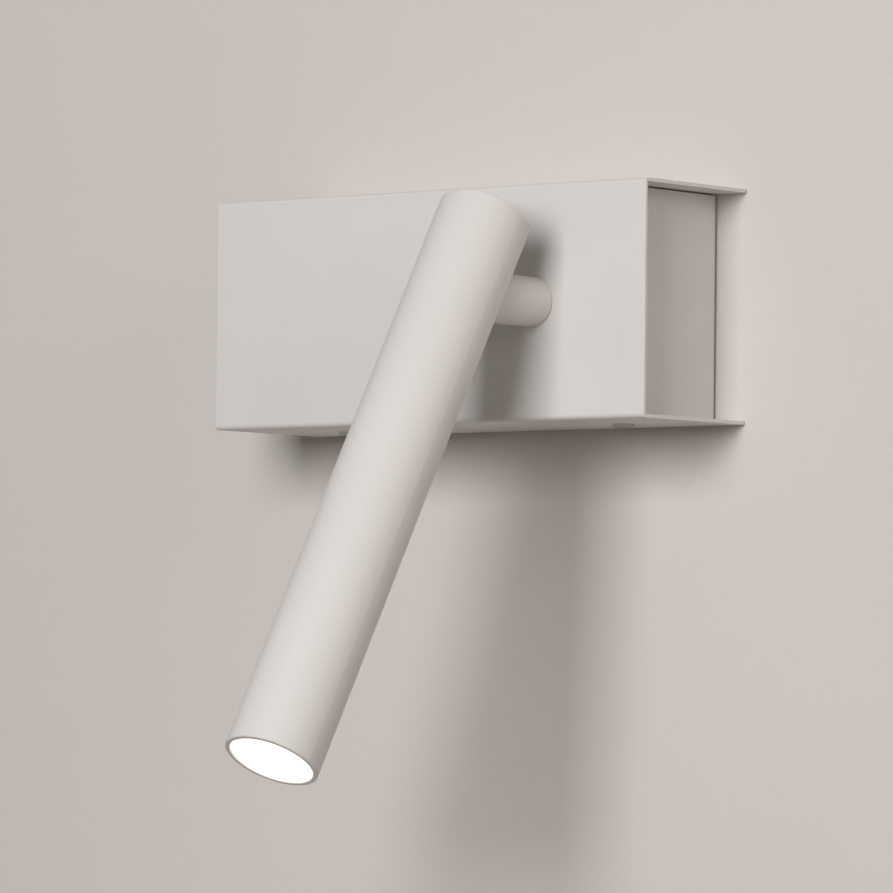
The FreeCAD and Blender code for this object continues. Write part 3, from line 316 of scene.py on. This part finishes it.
def shaded(tree, colour, value, darker):
    """Vary a colour's brightness with a noise, from darker to its own."""
    level = spread(tree, value, low=darker, high=1.0)
    return add_node(
        tree, "ShaderNodeMix", {MIX_FACTOR: 1.0, MIX_A: colour, MIX_B: level},
        data_type="RGBA", blend_type="MULTIPLY").outputs[MIX_RESULT]


def raised(tree, height, depth, below=None):
    """Bump whose full height is depth, in metres, on top of another bump."""
    inputs = {"Height": height, "Distance": depth, "Strength": 1.0}
    if below is not None:
        inputs["Normal"] = below
    return add_node(tree, "ShaderNodeBump", inputs).outputs["Normal"]


def powder_coat(settings):
    """Polyester powder coat, sprayed and baked on steel and aluminium.

    It gives the eye a satin white skin with a faint orange peel, and no metal under it.
    """
    material, tree = new_material("polyester_powder_coat")
    peel = grain(tree, size=2.2 * MM, detail=1.0)
    # The real grit is about 0.1 mm and is drawn at 0.5 mm so that it shows
    grit = grain(tree, size=0.5 * MM, detail=2.0)
    cloud = grain(tree, size=38 * MM, detail=3.0)
    bump = raised(tree, peel, depth=0.012 * MM)
    bump = raised(tree, grit, depth=0.004 * MM, below=bump)
    low, high = settings.coat_roughness - 0.04, settings.coat_roughness + 0.05
    shader = add_node(tree, "ShaderNodeBsdfPrincipled", {
        "Base Color": shaded(tree, tuple(settings.coat), cloud, darker=0.975),
        "Roughness": spread(tree, grit, low=low, high=high),
        "Normal": bump, "IOR": 1.5})
    show(tree, shader.outputs["BSDF"])
    return material


def plated_steel(settings):
    """Bright zinc on turned and stamped steel.

    It gives the eye a grey metal with soft reflections and a faint cloudy passivation.
    """
    material, tree = new_material("zinc_plated_steel")
    cloud = grain(tree, size=3 * MM, detail=3.0)
    lines = grain(tree, size=0.4 * MM, detail=1.0, stretch=(1, 1, 0.25))
    shader = add_node(tree, "ShaderNodeBsdfPrincipled", {
        # The zinc colour is darkened as painted shade for the screw heads under the flange, on top
        # of the metal's own grey
        "Base Color": shaded(tree, tuple(settings.zinc), cloud, darker=0.86),
        "Metallic": 1.0,
        "Roughness": spread(tree, cloud, low=0.28, high=0.42),
        "Normal": raised(tree, lines, depth=0.004 * MM)})
    show(tree, shader.outputs["BSDF"])
    return material


def bare_aluminium(settings):
    """Aluminium with no coat, as it leaves the press or the lathe.

    It gives the eye a pale metal with fine lines along its length.
    """
    material, tree = new_material("bare_aluminium")
    lines = grain(tree, size=0.5 * MM, detail=2.0, stretch=(1, 1, 12))
    shader = add_node(tree, "ShaderNodeBsdfPrincipled", {
        "Base Color": shaded(tree, tuple(settings.aluminium), lines, darker=0.9),
        "Metallic": 1.0,
        "Roughness": spread(tree, lines, low=0.3, high=0.45),
        "Normal": raised(tree, lines, depth=0.005 * MM)})
    show(tree, shader.outputs["BSDF"])
    return material


def tinned_copper():
    """Copper sheet with a dipped skin of tin.

    It gives the eye a soft, slightly milky metal with broad dull patches.
    """
    material, tree = new_material("tinned_copper")
    patch = grain(tree, size=1.6 * MM, detail=2.0)
    shader = add_node(tree, "ShaderNodeBsdfPrincipled", {
        "Base Color": shaded(tree, linear("#CFCDC7"), patch, darker=0.85),
        "Metallic": 1.0,
        "Roughness": spread(tree, patch, low=0.3, high=0.5),
        "Normal": raised(tree, patch, depth=0.02 * MM)})
    show(tree, shader.outputs["BSDF"])
    return material


def moulded(name, colour, roughness):
    """Plastic moulded against a spark-eroded tool.

    It gives the eye an even colour with a fine matt grain and slow waves from shrinkage.
    """
    material, tree = new_material(name)
    spark = grain(tree, size=0.3 * MM, detail=2.0)
    wave = grain(tree, size=11 * MM, detail=1.0)
    bump = raised(tree, wave, depth=0.03 * MM)
    shader = add_node(tree, "ShaderNodeBsdfPrincipled", {
        "Base Color": shaded(tree, colour, wave, darker=0.96),
        "Roughness": spread(tree, spark, low=roughness - 0.05, high=roughness + 0.05),
        "Normal": raised(tree, spark, depth=0.006 * MM, below=bump), "IOR": 1.52})
    show(tree, shader.outputs["BSDF"])
    return material


def soft_rubber():
    """Black EPDM, moulded, with a bloom of dust-fine chalk.

    It gives the eye a dark matt skin with slightly paler patches.
    """
    material, tree = new_material("epdm_rubber")
    bloom = grain(tree, size=2.5 * MM, detail=4.0)
    pores = grain(tree, size=0.3 * MM, detail=1.0)
    colour = add_node(
        tree, "ShaderNodeMix",
        {MIX_FACTOR: spread(tree, bloom, low=0.0, high=0.6), MIX_A: linear("#262625"),
         MIX_B: linear("#3A3936")},
        data_type="RGBA").outputs[MIX_RESULT]
    shader = add_node(tree, "ShaderNodeBsdfPrincipled", {
        "Base Color": colour, "Roughness": spread(tree, bloom, low=0.65, high=0.85),
        "Normal": raised(tree, pores, depth=0.01 * MM)})
    show(tree, shader.outputs["BSDF"])
    return material


def wire_insulation(name, colour, stripe=None):
    """PVC drawn over copper strands.

    It gives the eye a semi-matt skin that shows the strands' twist, with a stripe on the earth.
    """
    material, tree = new_material(name)
    twist = grain(tree, size=1.1 * MM, detail=1.0)
    shade = shaded(tree, colour, twist, darker=0.92)
    if stripe is not None:
        bands = add_node(
            tree, "ShaderNodeTexWave",
            {"Vector": add_node(tree, "ShaderNodeTexCoord").outputs["Object"],
             "Scale": 1 / (8 * MM)},
            bands_direction="DIAGONAL").outputs["Fac"]
        edge = add_node(
            tree, "ShaderNodeMapRange",
            {"Value": bands, "From Min": 0.6, "From Max": 0.64}).outputs["Result"]
        shade = add_node(
            tree, "ShaderNodeMix", {MIX_FACTOR: edge, MIX_A: shade, MIX_B: stripe},
            data_type="RGBA").outputs[MIX_RESULT]
    shader = add_node(tree, "ShaderNodeBsdfPrincipled", {
        "Base Color": shade, "Roughness": spread(tree, twist, low=0.4, high=0.5),
        "Normal": raised(tree, twist, depth=0.02 * MM), "IOR": 1.54})
    show(tree, shader.outputs["BSDF"])
    return material


def solder_mask():
    """White solder mask over an aluminium board.

    It gives the eye a glossy white with the faint relief of the tracks under it.
    """
    material, tree = new_material("white_solder_mask")
    tracks = add_node(
        tree, "ShaderNodeTexVoronoi",
        {"Vector": add_node(tree, "ShaderNodeTexCoord").outputs["Object"], "Scale": 1 / (4 * MM)},
        distance="CHEBYCHEV").outputs["Distance"]
    step = add_node(
        tree, "ShaderNodeMapRange",
        {"Value": tracks, "From Min": 0.38, "From Max": 0.42}).outputs["Result"]
    shader = add_node(tree, "ShaderNodeBsdfPrincipled", {
        "Base Color": shaded(tree, linear("#F0EFEA"), step, darker=0.95),
        "Roughness": spread(tree, grain(tree, size=1 * MM), low=0.22, high=0.32),
        "Normal": raised(tree, step, depth=0.03 * MM)})
    show(tree, shader.outputs["BSDF"])
    return material


def phosphor_silicone():
    """Silicone filled with yellow phosphor over the light-emitting chips.

    It gives the eye a bright yellow gel with the chips' dots under it.
    """
    material, tree = new_material("phosphor_silicone")
    dots = add_node(
        tree, "ShaderNodeTexVoronoi",
        {"Vector": add_node(tree, "ShaderNodeTexCoord").outputs["Object"],
         "Scale": 1 / (0.9 * MM), "Randomness": 0.1}).outputs["Distance"]
    shader = add_node(tree, "ShaderNodeBsdfPrincipled", {
        "Base Color": shaded(tree, linear("#F2D562"), dots, darker=0.9),
        "Roughness": 0.35, "Subsurface Weight": 0.3,
        "Normal": raised(tree, dots, depth=0.05 * MM)})
    show(tree, shader.outputs["BSDF"])
    return material


def clear_acrylic():
    """Acrylic moulded in a polished tool.

    It gives the eye a clear body with bright edges and slight flow waves.
    """
    material, tree = new_material("clear_acrylic")
    flow = grain(tree, size=6 * MM, detail=1.0)
    shader = add_node(tree, "ShaderNodeBsdfPrincipled", {
        "Base Color": linear("#F7FAFA"), "Transmission Weight": 1.0, "IOR": 1.49,
        "Roughness": spread(tree, flow, low=0.02, high=0.06),
        "Normal": raised(tree, flow, depth=0.01 * MM)})
    show(tree, shader.outputs["BSDF"])
    return material


def lit_opal(settings):
    """Opal acrylic lit from behind.

    It gives the eye a nearly even white glow that warms and dims a little at the rim.
    """
    material, tree = new_material("opal_acrylic")
    place = add_node(tree, "ShaderNodeAttribute", attribute_name="rim_share")
    fade = add_node(
        tree, "ShaderNodeMapRange",
        {"Value": place.outputs["Fac"], "From Min": settings.fade_start, "From Max": 1.0},
        interpolation_type="SMOOTHSTEP").outputs["Result"]
    glow = add_node(
        tree, "ShaderNodeMix",
        {MIX_FACTOR: fade, MIX_A: tuple(settings.glow_colour),
         MIX_B: tuple(settings.rim_colour)},
        data_type="RGBA").outputs[MIX_RESULT]
    frost = grain(tree, size=0.6 * MM, detail=2.0)
    shader = add_node(tree, "ShaderNodeBsdfPrincipled", {
        "Base Color": shaded(tree, linear("#F4F1EA"), frost, darker=0.97),
        "Roughness": spread(tree, frost, low=0.35, high=0.45), "IOR": 1.49,
        "Normal": raised(tree, frost, depth=0.006 * MM),
        "Emission Color": glow,
        "Emission Strength": add_node(
            tree, "ShaderNodeMapRange",
            {"Value": fade, "To Min": settings.glow, "To Max": settings.glow * settings.rim_glow}
        ).outputs["Result"]})
    show(tree, shader.outputs["BSDF"])
    return material


def finish_nodes(material, *names):
    """Give CAD nodes a material in place of the one that they were packed with."""
    for name in names:
        for place in frame["nodes"][name].material_slots:
            place.material = material


# Surfaces
def revolve(radius, height, angle):
    """Carry a profile round the Z axis: x = radius cos angle, y = radius sin angle, z = height."""
    return np.stack(np.broadcast_arrays(
        radius * np.cos(angle), radius * np.sin(angle), height), axis=-1)


def rounded_profile(corners, radius, steps=6):
    """Round each corner of a closed outline with a parabola.

    A point is (1 - t)^2 before + 2 t (1 - t) corner + t^2 after, where before and after lie
    radius away from the corner on its two sides.
    """
    corners = np.asarray(corners, float)
    back = np.roll(corners, 1, axis=0) - corners
    ahead = np.roll(corners, -1, axis=0) - corners
    before = corners + back * (radius / np.linalg.norm(back, axis=1, keepdims=True))
    after = corners + ahead * (radius / np.linalg.norm(ahead, axis=1, keepdims=True))
    t = np.linspace(0, 1, steps)[None, :, None]
    curve = (
        (1 - t) ** 2 * before[:, None] + 2 * t * (1 - t) * corners[:, None]
        + t ** 2 * after[:, None])
    outline = curve.reshape(-1, 2)
    return np.concatenate([outline, outline[:1]])


def grid_piece(name, grids, material, attribute=None):
    """Join grids of points into one closed mesh, with a face between each four neighbours."""
    points, faces, start = [], [], 0
    for grid in grids:
        rows, columns = grid.shape[:2]
        index = start + np.arange(rows * columns).reshape(rows, columns)
        cells = np.stack(
            [index[:-1, :-1], index[:-1, 1:], index[1:, 1:], index[1:, :-1]], axis=-1)
        points.append(grid.reshape(-1, 3))
        faces.append(cells.reshape(-1, 4))
        start += rows * columns
    mesh = bpy.data.meshes.new(name)
    mesh.from_pydata(np.concatenate(points).tolist(), [], np.concatenate(faces).tolist())
    if attribute is not None:
        label, values = attribute
        layer = mesh.attributes.new(label, "FLOAT", "POINT")
        layer.data.foreach_set("value", values.astype(np.float32).ravel())
    weld(mesh)
    return mesh_piece(name, mesh, material, SHARP)


def weld(mesh, flat=None):
    """Close a mesh's seams and poles, join its flat faces where asked, and face it outwards."""
    work = bmesh.new()
    work.from_mesh(mesh)
    bmesh.ops.remove_doubles(work, verts=work.verts, dist=WELD)
    bmesh.ops.dissolve_degenerate(work, edges=work.edges, dist=WELD)
    if flat is not None:
        bmesh.ops.dissolve_limit(
            work, angle_limit=flat, use_dissolve_boundaries=False, verts=work.verts,
            edges=work.edges)
    bmesh.ops.recalc_face_normals(work, faces=work.faces)
    work.to_mesh(mesh)
    work.free()


def mesh_piece(name, mesh, material, sharp):
    """Make an object of a mesh, smooth but for its sharp edges."""
    mesh.materials.clear()
    mesh.materials.append(material)
    mesh.shade_smooth()
    mesh.set_sharp_from_angle(angle=sharp)
    piece = bpy.data.objects.new(name, mesh)
    bpy.context.scene.collection.objects.link(piece)
    return piece


def stands_for(piece, node, body):
    """Show a piece in place of a CAD node, on its body."""
    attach(piece, body)
    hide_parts(node)


def rounded_sheet(node, material, settings):
    """Copy a sheet-metal node and round the edges that the coat flows round."""
    mesh = frame["nodes"][node].data.copy()
    weld(mesh, flat=FLAT)
    piece = mesh_piece(node + "_coated", mesh, material, SHEET_SHARP)
    edges = piece.modifiers.new("coated edges", "BEVEL")
    edges.width = settings.edge_radius
    edges.segments = 2
    edges.limit_method = "ANGLE"
    edges.angle_limit = SHEET_ROUNDED
    edges.harden_normals = True
    return piece


def screw_surface(settings):
    """Low-headed screw, head up, with a cross recess and a thread.

    The head's crown is a superellipse: height = H (1 - s^n)^(1/n) with s = radius / R. The
    recess sinks it by D (1 - (radius / half span)^2) along the x and y axes. Away from them that
    fades out smoothly, between the sunk share and the whole share of an arm's width. The thread's
    radius is a triangle wave of height / pitch - angle / turn, and it tapers at its end.
    """
    crown_points, shank_points = 70, 150
    sunk_share, whole_share = 0.3, 0.55
    taper_share, end_share = 1 / 14, 0.7
    angle = np.linspace(0, 2 * math.pi, SCREW_TURN_POINTS)[None, :]
    share = np.sin(np.linspace(0, math.pi / 2, crown_points))[:, None]
    full = settings.head_fullness
    radius = settings.head_radius * share
    crown = settings.head_height * (1 - share ** full) ** (1 / full)
    nearer = np.minimum(abs(radius * np.cos(angle)), abs(radius * np.sin(angle)))
    away = nearer / settings.recess_width
    inside = np.clip((whole_share - away) / (whole_share - sunk_share), 0, 1)
    inside = inside ** 2 * (3 - 2 * inside)
    falloff = np.clip(1 - (2 * radius / settings.recess_span) ** 2, 0, 1)
    head = revolve(radius, crown - settings.recess_depth * inside * falloff, angle)
    level = np.linspace(0, 1, shank_points)[:, None]
    height = -settings.length * level
    wave = abs(2 * ((height / settings.pitch - angle / (2 * math.pi)) % 1) - 1)
    taper = end_share + (1 - end_share) * np.clip((1 - level) / taper_share, 0, 1)
    root = settings.thread_radius - settings.thread_depth
    shank = revolve((root + settings.thread_depth * wave) * taper, height, angle)
    under = revolve(np.full((1, 1), settings.head_radius), np.zeros((1, 1)), angle)
    tip = revolve(np.zeros((1, 1)), np.full((1, 1), -settings.length), angle)
    return np.concatenate([head, under, shank, tip])


def diffuser_surface(settings):
    """Round disc with a crowned face, in the head's own frame, face down.

    The face is z = -reach - crown (1 - (radius / F)^2) out to F, where the rim's rounding starts.
    Then come the rim, the side and a flat back. The second result is each point's radius.
    """
    face_points, rim_points = 40, 7
    angle = np.linspace(0, 2 * math.pi, TURN_POINTS)[None, :]
    flat = settings.radius - settings.edge
    face = np.linspace(0, flat, face_points)
    turn = np.linspace(0, math.pi / 2, rim_points)
    rim = flat + settings.edge * np.sin(turn)
    radius = np.concatenate([face, rim, [settings.radius, 0]])[:, None]
    crown = -settings.crown * (1 - (face / flat) ** 2)
    drop = settings.edge * (1 - np.cos(turn))
    back = [settings.thickness, settings.thickness]
    height = np.concatenate([crown, drop, back])[:, None] - settings.reach
    return revolve(radius, height, angle), np.broadcast_to(radius, (len(radius), TURN_POINTS))


def grommet_surface(settings):
    """Rubber grommet, flange up: its outline with rounded corners carried round its axis."""
    outline = rounded_profile([
        (settings.bore, settings.start), (settings.neck, settings.start),
        (settings.neck, settings.seat), (settings.flange, settings.seat),
        (settings.flange, settings.lip), (settings.collar_foot, settings.lip),
        (settings.collar_end, settings.height), (settings.bore, settings.height)],
        settings.rounding)
    angle = np.linspace(0, 2 * math.pi, TURN_POINTS)[None, :]
    return revolve(outline[:, :1], outline[:, 1:], angle)


# Operators
class SPOTLIGHT_OT_sheet_metal(bpy.types.Operator):
    """Coat the folded cover and the chassis, and round their cut edges"""
    bl_idname = "spotlight.sheet_metal"
    bl_label = "Cover and chassis"

    def execute(self, context):
        coat = powder_coat(context.scene.spotlight_finish)
        for node in ("front_cover", "mounting_chassis"):
            piece = rounded_sheet(node, coat, context.scene.spotlight_sheet)
            stands_for(piece, node, "base")
        return {"FINISHED"}


class SPOTLIGHT_OT_cover_screws(bpy.types.Operator):
    """Model the two cover screws under the lower flange"""
    bl_idname = "spotlight.cover_screws"
    bl_label = "Cover screws"

    def execute(self, context):
        settings = context.scene.spotlight_screw
        low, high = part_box("cover_screws")
        surface = screw_surface(settings)
        seat = low.z + settings.head_height
        out = (low.y + high.y) / 2
        grids = []
        for along in (low.x + settings.head_radius, high.x - settings.head_radius):
            grids.append(surface * (1, 1, -1) + (along, out, seat))
        piece = grid_piece(
            "cover_screws_cross_head", grids, bpy.data.materials["zinc_plated_steel"])
        stands_for(piece, "cover_screws", "base")
        return {"FINISHED"}


class SPOTLIGHT_OT_fixings(bpy.types.Operator):
    """Finish the screws, nuts, washers and studs"""
    bl_idname = "spotlight.fixings"
    bl_label = "Fixings"

    def execute(self, context):
        steel = plated_steel(context.scene.spotlight_finish)
        finish_nodes(
            steel, "press_nuts", "driver_screws", "terminal_screws", "earth_screw", "stop_stud",
            "swivel_nipple", "stop_washer", "disc_spring", "swivel_nuts", "pivot_screws",
            "fork_screws", "sink_screw", "board_screws")
        nylon = moulded("polyamide_glide", linear("#E8E4DA"), roughness=0.5)
        finish_nodes(nylon, "glide_washer", "friction_washers", "swivel_bush")
        return {"FINISHED"}


class SPOTLIGHT_OT_wiring(bpy.types.Operator):
    """Finish the driver, the terminal block, the leads and the cable grommet"""
    bl_idname = "spotlight.wiring"
    bl_label = "Wiring"

    def execute(self, context):
        settings = context.scene.spotlight_finish
        finish_nodes(
            moulded("polycarbonate_case", linear("#E2E2DF"), roughness=0.55), "driver_case")
        finish_nodes(
            moulded("polyamide_block", linear("#DDDAD0"), roughness=0.45), "terminal_block")
        finish_nodes(tinned_copper(), "earth_lug")
        finish_nodes(wire_insulation("supply_insulation", tuple(settings.supply)), "supply_leads")
        finish_nodes(
            wire_insulation("earth_insulation", tuple(settings.earth), stripe=linear("#D8CF3E")),
            "earth_lead")
        finish_nodes(
            wire_insulation("white_sheath", linear("#E0DFDC")), "driver_output_lead", "arm_lead",
            "head_lead")
        low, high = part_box("cable_grommet")
        # The surface's Z is the distance from the wall, so it becomes -Y
        surface = grommet_surface(context.scene.spotlight_grommet)[..., [0, 2, 1]] * (1, -1, 1)
        surface = surface + ((low.x + high.x) / 2, high.y, (low.z + high.z) / 2)
        grommet = grid_piece("cable_grommet_moulded", [surface], soft_rubber())
        stands_for(grommet, "cable_grommet", "base")
        return {"FINISHED"}


class SPOTLIGHT_OT_arm_and_head(bpy.types.Operator):
    """Coat the arm, the tube and its cap, and finish the fork"""
    bl_idname = "spotlight.arm_and_head"
    bl_label = "Arm and head"

    def execute(self, context):
        finish_nodes(
            bpy.data.materials["polyester_powder_coat"], "arm_stub", "head_tube", "top_cap")
        finish_nodes(
            bare_aluminium(context.scene.spotlight_finish), "tilt_fork", "heat_sink")
        return {"FINISHED"}


class SPOTLIGHT_OT_light_engine(bpy.types.Operator):
    """Model the lit diffuser and finish what lies behind it"""
    bl_idname = "spotlight.light_engine"
    bl_label = "Light engine"

    def execute(self, context):
        settings = context.scene.spotlight_diffuser
        finish_nodes(moulded("silicone_pad", linear("#AEB4BD"), roughness=0.7), "thermal_pad")
        finish_nodes(solder_mask(), "led_board")
        finish_nodes(phosphor_silicone(), "led_emitter")
        finish_nodes(clear_acrylic(), "optic_lens")
        finish_nodes(
            moulded("polycarbonate_holder", linear("#E6E6E3"), roughness=0.5), "optic_holder")
        finish_nodes(bpy.data.materials["epdm_rubber"], "seal_ring")
        surface, radius = diffuser_surface(settings)
        turn = np.array(Matrix.Rotation(-settings.rest_tilt, 3, "X"))
        surface = surface @ turn.T + np.array(TILT_AXIS)
        piece = grid_piece(
            "diffuser_crowned", [surface], lit_opal(settings),
            attribute=("rim_share", radius / settings.radius))
        stands_for(piece, "diffuser", "head")
        return {"FINISHED"}


def seen_directly(tree):
    """Tell the rays that show a background from those that light the object with it."""
    path = add_node(tree, "ShaderNodeLightPath")
    share = path.outputs["Is Camera Ray"]
    for kind in ("Is Glossy Ray", "Is Transmission Ray"):
        share = add_node(
            tree, "ShaderNodeMath", {0: share, 1: path.outputs[kind]},
            operation="MAXIMUM").outputs["Value"]
    return share


def stage_material(name, colour, lift=0.0):
    """Matt paint that shows only from its front, so that it hides nothing from behind.

    The lift keeps it pale to the eye where the lamps don't reach it.
    """
    material, tree = new_material(name)
    roller = grain(tree, size=3 * MM, detail=2.0)
    paint = add_node(tree, "ShaderNodeBsdfDiffuse", {
        "Color": shaded(tree, colour, grain(tree, size=260 * MM, detail=2.0), darker=0.975),
        "Normal": raised(tree, roller, depth=0.02 * MM)})
    strength = add_node(
        tree, "ShaderNodeMath", {0: seen_directly(tree), 1: lift}, operation="MULTIPLY")
    glow = add_node(tree, "ShaderNodeEmission", {
        "Color": colour, "Strength": strength.outputs["Value"]})
    paint = add_node(tree, "ShaderNodeAddShader", {
        0: paint.outputs["BSDF"], 1: glow.outputs["Emission"]})
    clear = add_node(tree, "ShaderNodeBsdfTransparent")
    facing = add_node(tree, "ShaderNodeNewGeometry").outputs["Backfacing"]
    shown = add_node(tree, "ShaderNodeMixShader", {
        0: facing, 1: paint.outputs["Shader"], 2: clear.outputs["BSDF"]})
    show(tree, shown.outputs["Shader"])
    return material


def stage_mesh(name, points, faces, material):
    """Add a flat piece of the stage."""
    mesh = bpy.data.meshes.new(name)
    mesh.from_pydata(points, [], faces)
    mesh.materials.append(material)
    piece = bpy.data.objects.new(name, mesh)
    bpy.context.scene.collection.objects.link(piece)


def add_lamp(name, power, colour, size, heading, rise):
    """Face the spotlight with a soft square lamp.

    The heading, in degrees, is from the wall's normal towards +X, and the rise is from level.
    """
    lamp = bpy.data.lights.new(name, "AREA")
    lamp.energy = power
    lamp.color = colour[:3]
    lamp.shape = "RECTANGLE"
    lamp.size = lamp.size_y = size
    heading, rise = math.radians(heading), math.radians(rise)
    side = np.array([math.cos(heading), math.sin(heading), 0.0])
    back = np.array([
        math.sin(heading) * math.cos(rise), -math.cos(heading) * math.cos(rise),
        math.sin(rise)])
    turned = np.eye(4)
    turned[:3, 0], turned[:3, 1], turned[:3, 2] = side, np.cross(back, side), back
    turned[:3, 3] = LAMP_AIM + LAMP_DISTANCE * back
    holder = bpy.data.objects.new(name, lamp)
    holder.matrix_world = Matrix(turned)
    holder.visible_camera = False
    bpy.context.scene.collection.objects.link(holder)


def add_camera():
    """Stand the camera where the photograph was taken from.

    Its heading, pitch and roll, its place and its focal length in pixels were found by matching
    the box's corners and the tube's outline.
    """
    heading, pitch, roll = math.radians(39.425), math.radians(2.656), math.radians(-0.64)
    focal, width = 6295, 893
    place = np.array([1300.1, -1622.5, -139.8]) * MM
    ahead = np.array([
        -math.sin(heading) * math.cos(pitch), math.cos(heading) * math.cos(pitch),
        math.sin(pitch)])
    right = np.array([math.cos(heading), math.sin(heading), 0.0])
    down = np.cross(ahead, right)
    rolled_right = math.cos(roll) * right + math.sin(roll) * down
    rolled_down = math.cos(roll) * down - math.sin(roll) * right
    turned = np.eye(4)
    turned[:3, 0], turned[:3, 1], turned[:3, 2] = rolled_right, -rolled_down, -ahead
    turned[:3, 3] = place
    camera = bpy.data.cameras.new("photograph")
    camera.sensor_width = 36
    camera.lens = focal / width * camera.sensor_width
    camera.clip_end = 20
    holder = bpy.data.objects.new("photograph", camera)
    holder.matrix_world = Matrix(turned)
    bpy.context.scene.collection.objects.link(holder)
    bpy.context.scene.camera = holder


def set_world(settings):
    """Give soft light from all round, and a plain backdrop to the camera and to reflections."""
    world = bpy.data.worlds.new("studio")
    world.use_nodes = True
    tree = world.node_tree
    tree.nodes.clear()
    light = add_node(tree, "ShaderNodeBackground", {
        "Color": tuple(settings.fill), "Strength": settings.ambient})
    backdrop = add_node(tree, "ShaderNodeBackground", {
        "Color": tuple(settings.backdrop), "Strength": 1.0})
    both = add_node(tree, "ShaderNodeMixShader", {
        0: seen_directly(tree), 1: light.outputs["Background"],
        2: backdrop.outputs["Background"]})
    add_node(tree, "ShaderNodeOutputWorld", {"Surface": both.outputs["Shader"]})
    bpy.context.scene.world = world


class SPOTLIGHT_OT_stage(bpy.types.Operator):
    """Set up the wall, the floor, the lamps, the world and the camera"""
    bl_idname = "spotlight.stage"
    bl_label = "Stage"

    def execute(self, context):
        settings = context.scene.spotlight_stage
        context.scene.view_settings.view_transform = "Standard"
        # The wall is open behind the box, so that it doesn't shade the chassis's back
        back, wall = settings.wall_gap, []
        for x, z in ((settings.wall_reach, settings.wall_reach),
                     (settings.hole_half_width, settings.hole_half_height)):
            wall += [(-x, back, -z), (x, back, -z), (x, back, z), (-x, back, z)]
        stage_mesh(
            "wall", wall, [(0, 1, 5, 4), (1, 2, 6, 5), (2, 3, 7, 6), (3, 0, 4, 7)],
            stage_material("wall_paint", tuple(settings.wall)))
        far, level = settings.floor_reach, settings.floor_level
        stage_mesh(
            "floor", [(-far, -far, level), (far, -far, level), (far, back, level),
                      (-far, back, level)], [(0, 1, 2, 3)],
            stage_material("floor_paint", tuple(settings.floor), settings.floor_lift))
        for name, size, heading, rise, is_warm in LAMPS:
            colour = tuple(settings.fill) if is_warm else linear("#FFFFFF")
            add_lamp(name, getattr(settings, name), colour, size, heading, rise)
        set_world(settings)
        add_camera()
        return {"FINISHED"}


STEPS = (
    SPOTLIGHT_OT_sheet_metal, SPOTLIGHT_OT_fixings, SPOTLIGHT_OT_cover_screws,
    SPOTLIGHT_OT_wiring, SPOTLIGHT_OT_arm_and_head, SPOTLIGHT_OT_light_engine,
    SPOTLIGHT_OT_stage)
GROUPS = {
    "spotlight_sheet": SheetSettings, "spotlight_screw": ScrewSettings,
    "spotlight_diffuser": DiffuserSettings, "spotlight_grommet": GrommetSettings,
    "spotlight_finish": FinishSettings, "spotlight_stage": StageSettings}


class SPOTLIGHT_PT_panel(bpy.types.Panel):
    """Sizes, colours and steps of the wall spotlight"""
    bl_idname = "SPOTLIGHT_PT_panel"
    bl_label = "Wall spotlight"
    bl_space_type = "VIEW_3D"
    bl_region_type = "UI"
    bl_category = "Spotlight"

    def draw(self, context):
        for name, group in GROUPS.items():
            box = self.layout.box()
            for prop in group.__annotations__:
                box.prop(getattr(context.scene, name), prop)
        for step in STEPS:
            self.layout.operator(step.bl_idname)


def register():
    for name, group in GROUPS.items():
        bpy.utils.register_class(group)
        setattr(bpy.types.Scene, name, bpy.props.PointerProperty(type=group))
    for kind in (*STEPS, SPOTLIGHT_PT_panel):
        bpy.utils.register_class(kind)


def unregister():
    for kind in (SPOTLIGHT_PT_panel, *reversed(STEPS)):
        bpy.utils.unregister_class(kind)
    for name, group in reversed(GROUPS.items()):
        delattr(bpy.types.Scene, name)
        bpy.utils.unregister_class(group)


def main():
    register()
    for step in STEPS:
        family, name = step.bl_idname.split(".")
        getattr(getattr(bpy.ops, family), name)()


if __name__ == "__main__":
    main()
